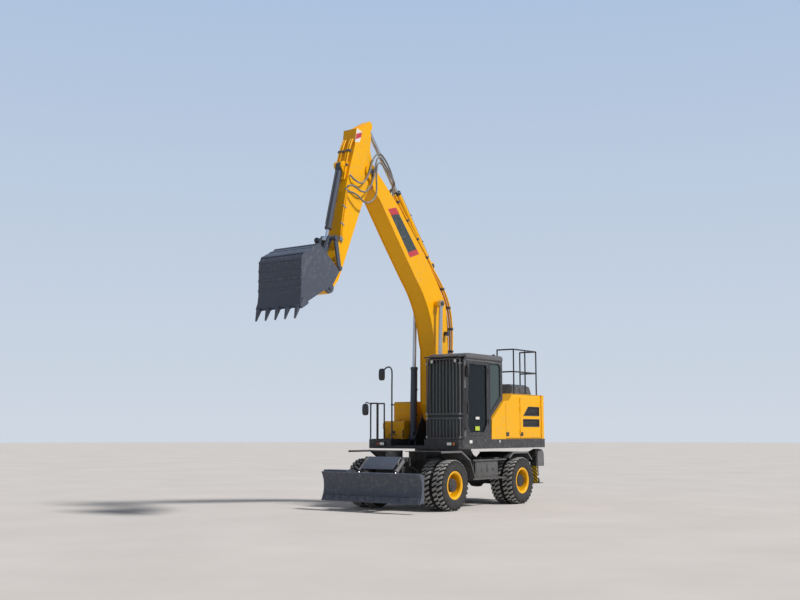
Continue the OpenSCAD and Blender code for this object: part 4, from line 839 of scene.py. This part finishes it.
def tread_plate():
    """Plate on the right deck with raised bars that lean to and fro."""
    s = Solid()
    s.box(-1190, -660, 700, 1090, DECK_TOP - 4, DECK_TOP + 1, 1)
    for i in range(13):
        for k in range(9):
            x, f = -1170 + i * 40, 720 + k * 43
            lean = 0.8 if (i + k) % 2 else -0.8
            c, q = math.cos(lean), math.sin(lean)
            bar = [(x + c * u - q * v, f + q * u + c * v) for u, v in ((-12, 0), (0, -4), (12, 0), (0, 4))]
            s.prism(bar, DECK_TOP, DECK_TOP + 4, "z")
    s.piece("tread_plate", "upper", CHARCOAL)


def deck_trim():
    edge_lamps()
    tread_plate()
    s = Solid()
    for x in (-1190, -660):
        s.box(x, x + 20, 640, 660, 1500, 1680, 2)
    s.box(-950, -870, 640, 652, 1600, 1660, 4)
    s.tube([(-990, 660, 1570), (-990, 690, 1570), (-830, 690, 1570), (-830, 660, 1570)], 9, 10, 4)
    s.piece("toolbox_handle", "upper", BLACK)
    s.lathe((-900, -180, 2329), (0, 0, 1), [(0, 74), (10, 74), (12, 58), (40, 56), (44, 50), (46, 12)], 32)
    s.box(-930, -870, -186, -174, 2370, 2390, 3)
    s.piece("tank_cap", "upper", BLACK)


def mirror(s, glass, x, f, z, half, high):
    """A mirror head that faces the rear, with a rounded shell."""
    rings = []
    for ahead, k in ((34, 0.55), (28, 0.86), (12, 1.0), (-6, 1.0), (-8, 0.96)):
        rings.append([(x + half * k * u, f + ahead, z + high * k * v) for u, v in squircle(32, 4)])
    s.loft(rings)
    glass.prism(inset(rect(x - half, x + half, z - high, z + high), 14), f - 11, f - 8.5, "f", 1)


def mirrors():
    """One on a post on the right deck, one on an arm at that deck's corner and one on the cab."""
    s, glass = Solid(), Solid()
    s.tube([
        (-615, 1120, 1476), (-615, 1120, 2000), (-615, 1120, 2600), (-612, 1120, 2930), (-632, 1120, 3036),
        (-690, 1120, 3078), (-760, 1120, 3070), (-820, 1121, 3030), (-862, 1122, 2985), (-880, 1124, 2950),
    ], 17, 14, 6)
    s.lathe((-615, 1120, 1474), (0, 0, 1), [(0, 44), (8, 44), (10, 26), (40, 24)], 24)
    s.box(-642, -604, 1040, 1128, 2220, 2250, 3)
    mirror(s, glass, -896, 1118, 2918, 82, 134)
    s.tube([
        (-1180, 1150, 2250), (-1172, 1240, 2280), (-1130, 1390, 2290), (-1112, 1425, 2250),
        (-1110, 1436, 2200),
    ], 13, 12, 5)
    s.lathe((-1181, 1150, 2225), (0, 0, 1), [(0, 19), (50, 19), (52, 10)], 16)
    mirror(s, glass, -1110, 1440, 2130, 84, 128)
    s.tube([(1222, 990, 2980), (1262, 985, 2990), (1275, 978, 2970), (1276, 976, 2940)], 12, 12, 5)
    mirror(s, glass, 1280, 968, 2935, 48, 135)
    s.piece("mirror_heads", "upper", BLACK, 35, ["mirrors"])
    glass.piece("mirror_glasses", "upper", SILVER)


# Cab
CAB_IN, CAB_OUT, CAB_FRONT, CAB_REAR = 302, 1230, 1060, -590
CAB_SILL, CAB_TALL, CAB_LEAN = 1476, 1694, 30
CAB_FLOOR, SEAT_X = 1526, 786
COLUMN_TOP, COLUMN_WAY = (SEAT_X, 668, 2150), (0, -0.42, 0.9)
DOOR_PANE = [(92, 3105), (861, 3105), (883, 1790), (785, 1622), (240, 1622), (92, 1790)]
QUARTER_PANE = [(-45, 3150), (-430, 3150), (-490, 3100), (-490, 2420), (-70, 2050), (-45, 2050)]
DOOR_EDGE = [(30, 3165), (923, 3165), (945, 1760), (815, 1560), (210, 1560), (30, 1760)]


def cab_openings():
    s = Solid()
    s.border(inset(QUARTER_PANE, -14), 20, CAB_OUT - 2, CAB_OUT + 4)
    s.border([(900, 2072), (930, 3128), (-488, 3128), (-488, 2432), (-64, 2072)], 18, CAB_IN - 4, CAB_IN + 2)
    s.border(rect(396, 1136, 2472, 3128), 18, CAB_REAR - 4, CAB_REAR + 2, "f")
    s.piece("cab_window_seals", "upper", BLACK)
    s.border(inset(DOOR_PANE, -10), 20, CAB_OUT - 2, CAB_OUT + 4)
    s.piece("door_window_seal", "cab_door", BLACK)
    s.border(inset(DOOR_EDGE, 9), 12, CAB_OUT - 1, CAB_OUT + 2.5)
    s.tube([
        (1232, 905, 2020), (1258, 905, 2034), (1262, 905, 2080),
        (1262, 905, 2230), (1258, 905, 2276), (1232, 905, 2290),
    ], 10, 10, 4)
    s.box(1229, 1240, 880, 930, 1930, 1990, 4)
    s.piece("door_trim", "cab_door", SMOKE)
    for name, material, label in (
        ("door_label_white", WHITE, rect(405, 560, 1905, 1960)),
        ("door_label_green", LIME, rect(400, 580, 1665, 1755)),
    ):
        s.prism(label, CAB_OUT - 3, CAB_OUT - 1)
        s.piece(name, "cab_door", material)


def cab_covers():
    """Grab rail on the front pillar, the lighter pillar covers, and the roof's cover with its hatch."""
    s = Solid()
    s.tube([
        (1226, 1006, 1690), (1256, 1006, 1704), (1262, 1006, 1740),
        (1262, 1004, 2500), (1256, 1004, 2536), (1226, 1004, 2550),
    ], 14, 12, 4)
    s.piece("cab_grab_rail", "upper", BLACK)
    pillar = [(1214, 1028), (1233, 1012), (1233, 962), (1231, 958), (1226, 962), (1210, 1020)]
    s.prism(pillar, 1540, 3160, "z")
    rail = [(940, 3168), (-40, 3168), (-500, 3140), (-560, 3150), (-560, 3176), (-40, 3196), (950, 3190)]
    s.prism(rail, CAB_OUT - 1, CAB_OUT + 3)
    s.piece("cab_pillar_covers", "upper", GREY)
    roof = [
        (-596, 3226), (-612, 3246), (-606, 3290), (-566, 3326), (-540, 3333),
        (850, 3333), (922, 3312), (944, 3284), (944, 3232), (930, 3226),
    ]
    s.prism(roof, CAB_IN - 6, CAB_OUT + 8, r=10)
    s.prism(rect(CAB_IN + 200, CAB_OUT - 200, -300, 420), 3330, 3352, "z", 10)
    s.piece("cab_roof_cover", "upper", GREY)
    s.lathe((CAB_OUT - 130, -430, 3330), (0, 0, 1), [(0, 46), (14, 46), (34, 40), (46, 22), (49, 6)], 28)
    s.piece("aerial", "upper", BLACK)


def cab_lamps():
    s, glass = Solid(), Solid()
    shell = [(-12, 30), (0, 46), (62, 54), (90, 56), (94, 54), (94, 46), (60, 40)]
    for x in (440, 1060):
        s.lathe((x, 1016, 3162), (0, 1, 0), shell, 36, closed=True)
        glass.lathe((x, 1060, 3162), (0, 1, 0), [(0, 47), (34, 47), (41, 38), (44, 20), (45, 3)], 32)
        s.box(x - 12, x + 12, 1012, 1052, 3206, 3238, 2)
    s.piece("work_lamp_shells", "upper", BLACK, 35, ["lamps"])
    glass.piece("work_lamp_glasses", "upper", LENS)


def cab_guard():
    """Two framed rows of upright bars, held off the pillars by brackets."""
    f, gaps, half = 1122, 10, 12
    left, right = 1200 - half, 322 + half
    s = Solid()
    for z0, z1 in ((1496, 1926), (2019, 3200)):
        for z in (z0, z1):
            s.box(right - half, left + half, f - 9, f + 9, z - 14, z + 14, 3)
        for x in (right, left):
            s.box(x - half, x + half, f - 11, f + 11, z0, z1, 3)
        for i in range(1, gaps):
            s.lathe((right + (left - right) * i / gaps, f, z0), (0, 0, 1), [(0, 12), (z1 - z0, 12)], 12)
    s.piece("guard_bars_round", "upper", GREY, 35, ["cab_guard"])
    s, bolts = Solid(), Solid()
    for x in (right, left):
        for z in (1520, 1926, 2019, 3100):
            pillar = CAB_FRONT - CAB_LEAN * (z - CAB_SILL) / CAB_TALL - 6
            s.box(x - half, x + half, pillar, f - 8, z - 14, z + 14, 3)
            bolts.bolt((x, f + 10, z), (0, 1, 0), 17, 14)
    s.piece("guard_brackets", "upper", SMOKE)
    bolts.piece("guard_bolts", "upper", STEEL)


def wiper():
    s = Solid()
    s.tube([(900, 1046, 1700), (840, 1062, 2100), (800, 1058, 2520)], 8, 8, 4)
    s.tube([(790, 1050, 2180), (798, 1052, 2860)], 6, 8)
    s.piece("wiper", "upper", BLACK)


def consoles():
    """Seat base with its bellows, side consoles with levers, and the steering column."""
    c, floor = SEAT_X, CAB_FLOOR
    s = Solid()
    s.box(c - 170, c + 170, 60, 420, floor, 1600, 12)
    for i in range(6):
        z, half = 1600 + i * 25, 150 - (i % 2) * 8
        s.box(c - half, c + half, 80, 400, z, z + 22, 8)
    s.box(c - 230, c + 230, 10, 470, 1752, 1782, 10)
    knob = [(0, 16), (20, 27), (60, 30), (92, 25), (104, 12), (106, 3)]
    for x in (c - 320, c + 320):
        s.box(x - 55, x + 55, 130, 390, floor, 1640, 10)
        s.box(x - 60, x + 60, 60, 560, 1640, 1900, 26)
        s.box(x - 52, x + 52, 120, 420, 1900, 1936, 12)
        s.tube([(x, 500, 1895), (x, 512, 1960), (x, 506, 2010), (x, 500, 2040)], 15, 12, 4)
        s.lathe((x, 498, 2030), (0, -0.1, 1), knob, 20)
    s.prism([(720, floor), (840, floor), (700, 2150), (650, 2150)], c - 46, c + 46, "x", 12)
    s.lathe(COLUMN_TOP, COLUMN_WAY, [(-10, 54), (20, 60), (34, 52), (36, 10)], 24)
    s.piece("cab_console", "upper", SMOKE, 35, ["seat"])


def steering_wheel():
    way = Vector(COLUMN_WAY).normalized()
    hub = Vector(COLUMN_TOP) + way * 52
    side = Vector((1, 0, 0))
    up = way.cross(side)
    s = Solid()
    rings = []
    for a, b in circle(1, 40):
        out = side * a + up * b
        rings.append([hub + out * (178 + u) + way * v for u, v in circle(13, 10)])
    s.loft(rings, closed=True)
    for w in (0.5, 2.64, 4.71):
        s.tube([hub - way * 16, hub + (side * math.cos(w) + up * math.sin(w)) * 174], 9, 8)
    s.piece("steering_wheel", "upper", BLACK)


def monitor():
    s = Solid()
    s.box(930, 950, 700, 900, 2180, 2340, 10)
    s.tube([(1000, 960, 2000), (960, 900, 2120), (944, 820, 2240)], 11, 10, 4)
    s.piece("monitor", "upper", BLACK)


def seat():
    c = SEAT_X
    back_frame = along(Vector((85, 1870)), Vector((-88, 700)))
    head_frame = along(Vector((-18, 2575)), Vector((-20, 200)))
    for name, put, half, sizes in (
        ("seat_cushion", ground, 238, (22, 498, 1784, 1886, 20)),
        ("seat_back", back_frame, 228, (0, 700, -60, 66, 16)),
        ("head_rest", head_frame, 136, (0, 180, -52, 56, 12)),
    ):
        s = Solid(put)
        s.pillow(c - half, c + half, *sizes)
        o = s.piece(name, "upper", CLOTH, 60)
    s = Solid()
    for x in (c - 60, c + 60):
        s.tube([(x, -10, 2540), (x, -22, 2620)], 7, 8)
    s.tube([(c - 232, 60, 1850), (c - 232, 420, 1850)], 4, 6)
    s.piece("seat_fittings", "upper", STEEL)


def cab():
    cab_openings()
    cab_covers()
    cab_lamps()
    cab_guard()
    wiper()
    consoles()
    steering_wheel()
    monitor()
    seat()


# Boom, stick and bucket
PIPES = ((196, 24), (132, 24), (72, 17), (-132, 24), (-196, 24))  # place to the left and radius
PIPE_PATH = [
    (330, 360), (480, 560), (760, 800), (1100, 1040), (1450, 1240), (1858, 1400), (2271, 1440), (2700, 1350),
    (3101, 1215), (3582, 1075), (4219, 850), (4658, 715), (5060, 606),
]
BOOM_TOP = [
    (160, 200), (1250, 900), (1868, 1170), (2250, 1280), (2827, 1190), (3360, 1068), (3893, 905), (4964, 530),
]


def boom_pipes():
    s, clamps = Solid(IN_BOOM), Solid(IN_BOOM)
    for x, r in PIPES:
        s.tube([(x, a, b) for a, b in PIPE_PATH], r, 12, 5)
    s.piece("boom_pipes", "boom", YELLOW, 40)
    for a in (620, 1100, 1560, 2040, 2520, 3400, 3900, 4400, 4880):
        top, base = height_at(PIPE_PATH, a), height_at(BOOM_TOP, a)
        for x in (-164, 164):
            clamps.box(x - 62, x + 62, a - 28, a + 28, top - 34, top + 34, 8)
            clamps.box(x - 40, x + 40, a - 7, a + 7, base - 30, top - 20, 2)
            for q in (-1, 1):
                clamps.bolt((x, a + q * 16, top + 33), (0, 0, 1), 7, 10)
    clamps.piece("boom_pipe_clamps", "boom", SMOKE)


def boom_panel():
    s = Solid(IN_BOOM)
    s.prism(inset([(4863, 195), (4799, 493), (3588, 838), (3640, 471)], 8), 215, 217.5)
    s.piece("boom_panel", "boom", PANEL)
    s.prism([(4863, 195), (4799, 493), (4640, 538), (4706, 236)], 215, 219)
    s.prism([(3640, 471), (3588, 838), (3716, 801), (3766, 441)], 215, 219)
    s.piece("boom_panel_ends", "boom", RED)


def boom_pin_heads():
    s = Solid(IN_BOOM)
    for side in (-1, 1):
        way = (side, 0, 0)
        s.lathe((side * 228, 5770, 0), way, [(0, 60), (10, 60), (14, 54), (15, 10)], 32)
        s.box(side * 222 - 8, side * 222 + 8, 5640, 5712, -26, 26, 3)
        for b in (-14, 14):
            s.bolt((side * 230, 5660, b), way, 7, 7)
        s.lathe((side * 398, *BOOM_ROD_PIN), way, [(0, 52), (16, 52), (20, 46), (21, 10)], 32)
        for a, b in circle(34, 3, 0.5):
            s.bolt((side * 417, BOOM_ROD_PIN[0] + a, BOOM_ROD_PIN[1] + b), way, 7, 7)
        s.lathe((side * 92, *ARM_BARREL_PIN), way, [(0, 56), (12, 56), (15, 48), (16, 10)], 28)
    s.piece("boom_pin_heads", "boom", SMOKE)


def boom_lamp():
    """Work lamp on the boom's left side."""
    way = (0, -0.75, -0.66)
    s = Solid(IN_BOOM)
    s.box(214, 232, 1560, 1640, 900, 980, 4)
    s.lathe((290, 1590, 930), way, [(-40, 30), (-30, 52), (40, 60), (56, 60), (58, 50)], 28)
    s.tube([(228, 1600, 940), (262, 1600, 940), (288, 1596, 936)], 10, 10, 3)
    s.piece("boom_lamp_shell", "boom", BLACK)
    s.lathe((290, 1548, 893), way, [(-6, 50), (6, 50), (10, 40), (12, 4)], 28)
    s.piece("boom_lamp_glass", "boom", LENS)


def stick_patch():
    s = Solid(IN_STICK)
    s.prism([(-559, 773), (-596, 599), (-352, 562), (-243, 692)], 169.5, 171.5)
    s.piece("stick_patch_white", "stick", WHITE)
    s.prism([(-590, 600), (-468, 580), (-312, 700), (-430, 737)], 170, 172.5)
    s.piece("stick_patch_red", "stick", RED)


def stick_trim():
    s = Solid(IN_STICK)
    upper = [(-300, 735), (-120, 735), (150, 700), (420, 640), (560, 590), (640, 575)]
    for x in (-120, -66, 66, 120):
        s.tube([(x, *p) for p in upper], 20, 12, 4)
    for drop in (0, 52):
        lower = [(800 + drop, 480), (1150, 389), (1572, 266), (1850, 160)]
        s.tube([(186, a, b - drop) for a, b in lower], 15, 12, 4)
    s.piece("stick_pipes", "stick", YELLOW, 40)
    for side in (-1, 1):
        for x, a, b, r in ((170, 2950, 0, 62), (276, 2470, -40, 46)):
            s.lathe((side * x, a, b), (side, 0, 0), [(0, r), (12, r), (15, r - 8), (16, 10)], 30)
        for a in (0, 330):
            s.box(side * 93 - 70, side * 93 + 70, a - 26, a + 26, 690 - a * 0.16, 745 - a * 0.2, 6)
    s.piece("stick_fittings", "stick", SMOKE)
    for a, b in ((840, 445), (1200, 350), (1560, 242), (1850, 134)):
        s.box(168, 204, a - 16, a + 16, b - 50, b + 56, 4)
    for b in (160, 108):
        s.lathe((186, 1850, b), (0, 1, -0.3), [(-40, 21), (20, 21), (24, 25), (52, 25), (56, 12)], 6)
    s.piece("stick_pipe_clamps", "stick", STEEL)


# Hoses between boom and stick: left ends, then [along, across] on the boom's and on the stick's frame
HOSE_START = [(5030, 512), (5130, 566)]
HOSE_LOOPS = (
    (196, 248, [(5381, 661), (5767, 589), (6018, 449)], [
        (-348, 75), (-130, 95), (109, 76), (309, 102), (473, 197), (537, 392), (522, 480), (500, 525),
    ]),
    (132, 286, [(5343, 600), (5709, 476), (5953, 361)], [
        (-298, 23), (-98, -1), (113, -57), (365, -56), (567, 20), (667, 173), (690, 362),
        (745, 470), (800, 480),
    ]),
    (72, 324, [(5305, 560), (5645, 388), (5862, 260)], [
        (-138, -6), (89, -87), (341, -227), (538, -250), (754, -128), (840, 32),
        (837, 235), (852, 380), (870, 420),
    ]),
)


def hoses():
    for i, (start, side, over, under) in enumerate(HOSE_LOOPS):
        out = [start] * 2 + [side - 20] + [side] * (len(under) - 1) + [side - 10, (side + 190) / 2, 192]
        places = [on_boom(p) for p in HOSE_START + over] + [on_stick(p) for p in under]
        s = Solid()
        path = s.tube([(BOOM_X + x, *p) for x, p in zip(out, places)], 19, 12, 6)
        o = s.piece(f"hose_loop_{i + 1}", None, HOSE, 40)
        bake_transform(o)


def boom_glands():
    """Collars and lines on the barrels of the boom's cylinders."""
    base = pin("boom_barrels_swing")
    put = along(base, Vector(on_boom(BOOM_ROD_PIN)) - base, BOOM_X)
    s, pipes = Solid(put), Solid(put)
    gland = 1540
    line = [(210, 76), (230, 104), (300, 112), (gland - 160, 112), (gland - 110, 100), (gland - 90, 78)]
    for x in (-BOOM_CYLINDER_X, BOOM_CYLINDER_X):
        s.lathe((x, gland, 0), (0, 1, 0), [(0, 84), (52, 84), (60, 78), (66, 60), (66, 47)], 40)
        for a, b in circle(70, 8):
            s.bolt((x + a, gland + 60, b), (0, 1, 0), 7, 10)
        pipes.tube([(x, *p) for p in line], 14, 10, 5)
        for a in (520, 1100):
            pipes.box(x - 26, x + 26, a - 18, a + 18, 60, 130, 5)
    s.piece("boom_glands", "boom_barrels", SMOKE)
    pipes.piece("boom_cylinder_lines", "boom_barrels", SMOKE)


def arm_gland():
    start, end = pin("arm_barrel_swing"), Vector(on_stick(ARM_ROD_PIN))
    gland = 1915
    s = Solid(along(start, end - start, BOOM_X))
    s.lathe((0, gland, 0), (0, 1, 0), [(0, 92), (56, 92), (64, 86), (70, 66), (70, 49)], 40)
    for a, b in circle(76, 8):
        s.bolt((a, gland + 60, b), (0, 1, 0), 7, 10)
    line = [(240, 82), (262, 110), (330, 118), (gland - 135, 118), (gland - 85, 106), (gland - 65, 84)]
    s.tube([(0, *p) for p in line], 15, 10, 5)
    for a in (600, 1300):
        s.box(-28, 28, a - 20, a + 20, 64, 138, 5)
    s.piece("arm_gland", "arm_barrel", BLACK)


def bucket_gland():
    start, end = pin("bucket_barrel_swing"), Vector(on_stick(BUCKET_ROD_PIN))
    gland = (end - start).length - 285
    s = Solid(along(start, end - start, BOOM_X))
    s.lathe((0, gland, 0), (0, 1, 0), [(0, 74), (50, 74), (58, 68), (64, 50), (64, 39)], 40)
    line = [(180, 64), (200, 88), (260, 96), (gland - 100, 96), (gland - 60, 86), (gland - 40, 66)]
    s.tube([(0, *p) for p in line], 13, 10, 5)
    s.piece("bucket_gland", "bucket_barrel", SMOKE)


def working_equipment():
    boom_pipes()
    boom_panel()
    boom_pin_heads()
    boom_lamp()
    stick_patch()
    stick_trim()
    hoses()
    boom_glands()
    arm_gland()
    bucket_gland()


# Undercarriage
def fender_edges():
    s = Solid()
    front = [(1900, 1221), (1120, 1221), (780, 1035), (580, 651)]
    rear = [(-885, 1051), (-1078, 1169), (-1740, 1169), (-1925, 1001)]
    lip = [(1200, 16), (1220, 16), (1222, 12), (1222, -22), (1218, -24), (1213, -22), (1213, 10), (1200, 10)]
    for side in (-1, 1):
        for line in (front, rear):
            s.loft([[(side * x, f, z + up) for x, up in lip] for f, z in line])
        for f in (1800, 1500, 1200):
            s.bolt((side * 1180, f, 1232), (0, 0, 1), 8, 7)
    s.piece("fender_edges", "undercarriage", GREY)


LOCKER_X = 1125  # outer face of the side lockers


def lockers():
    """Plates and fittings on the side lockers, and treads on their steps."""
    s, dark = Solid(), Solid()
    plate = inset(rect(-500, 410, 655, 990), 10)
    for side in (-1, 1):
        x, way = side * LOCKER_X, (side, 0, 0)
        s.prism(plate, x, x + side * 5, r=1.5)
        for f in (-470, -320, 60, 380):
            for z in (690, 955):
                s.bolt((x + side * 4, f, z), way, 8, 7)
        for f, z, r in ((-300, 810, 30), (-60, 890, 24), (-60, 790, 34), (180, 800, 22)):
            dark.lathe((x + side * 2, f, z), way, [(0, r + 8), (7, r + 8), (8, r), (4, r - 4), (3, 4)], 28)
        dark.box(x + side * 4, x + side * 9, -90, -30, 830, 940, 3)
        for z in (636, 1040):
            for f in range(-780, 481, 60):
                s.box(side * 1094, side * 1156, f, f + 26, z - 4, z + 3, 1)
    s.piece("locker_plates", "undercarriage", PALE)
    dark.piece("locker_fittings", "undercarriage", BLACK)


def blade_trim():
    s = Solid()
    half, bolts = 1180, 12
    for i in range(bolts):
        x = -half + i * 2 * half / (bolts - 1)
        for z in (265, 300):
            s.bolt((x, 2750 + (300 - z) * 0.28, z), (0, 0.95, 0.3), 12, 9)
    s.piece("blade_bolts", "blade", SLATE)
    # cover on the front of the chassis: its sloping plate with bolts, then its level one
    s = Solid(along(Vector((2193, 1112)), Vector((240, -210))))
    s.box(-416, 416, 0, 372, 1, 6, 2)
    for x in (-384, -128, 128, 384):
        for a in (30, 344):
            s.bolt((x, a, 4), (0, 0, 1), 9, 7)
    s.put = ground
    s.box(-416, 416, 2105, 2192, 1112, 1117, 2)
    s.piece("front_cover", "undercarriage", SLATE)
    # hoses to the blade's cylinders and to the axle
    blade_line = [(430, 2150, 1060), (412, 2210, 1090), (420, 2300, 1010), (440, 2340, 950)]
    axle_line = [(330, 1720, 900), (380, 1650, 860), (420, 1560, 760), (430, 1500, 690)]
    s = Solid()
    for side in (-1, 1):
        for line, r in ((blade_line, 12), (axle_line, 11)):
            s.tube([(side * x, f, z) for x, f, z in line], r, 10, 5)
    s.piece("front_lines", "undercarriage", HOSE)


COVER_F, COVER_LOW, COVER_TOP = -2455, 830, 1086


def arch(r):
    """Outline of the cover on an outrigger's cylinder, as [forward, up]."""
    turns = [math.pi * i / 16 for i in range(17)]
    top = [(COVER_F - r * math.cos(w), COVER_TOP + r * 0.9 * math.sin(w)) for w in turns]
    return [(COVER_F - r, COVER_LOW)] + top + [(COVER_F + r, COVER_LOW)]


def outrigger_trim(hand, side):
    s = Solid()
    s.prism(arch(160), side * 1160, side * 1168)
    rings = []
    for p, q in zip(arch(160), arch(153)):
        rings.append([(side * 1092, *p), (side * 1164, *p), (side * 1164, *q), (side * 1092, *q)])
    s.loft(rings)
    for f in (COVER_F - 120, COVER_F + 120):
        for z in (880, 1060):
            s.bolt((side * 1167, f, z), (side, 0, 0), 10, 8)
    s.piece(f"leg_cover_{hand}", f"outrigger_barrel_{hand}", GREY)
    near, far = side * 1052, side * 1208
    s.prism([(-2199, 448), (-2196, 448), (-2152.5, 836), (-2155.5, 836)], near, far)
    s.prism([(-2219, 446), (-2202, 446), (-2157, 836), (-2179, 836)], side * 1210, side * 1212.5)
    s.piece(f"leg_stripes_{hand}", f"outrigger_{hand}", BLACK_YELLOW)
    s.prism([(-2155.5, 838), (-2152.5, 838), (-2133.5, 988), (-2136.5, 988)], near, far)
    s.prism([(-2136.5, 992), (-2133.5, 992), (-2163, 1066), (-2166, 1066)], near, far)
    s.piece(f"leg_plate_{hand}", f"outrigger_{hand}", BLACK)
    for f in (-2330, -2240):
        for x in (1190, 930):
            s.bolt((side * x, f, 446), (0, 0, 1), 10, 8)
    s.lathe((side * 1100, -2418, 505), (0, -1, 0), [(0, 40), (14, 40), (17, 34), (18, 8)], 28)
    s.piece(f"foot_bolts_{hand}", f"outrigger_{hand}", STEEL)


def undercarriage():
    fender_edges()
    lockers()
    blade_trim()
    for hand, side in HANDS:
        outrigger_trim(hand, side)


def build():
    dress_nodes()
    wheels()
    service_doors()
    house_trim()
    hood_grille()
    deck_trim()
    mirrors()
    cab()
    working_equipment()
    undercarriage()


build()
make_stage()
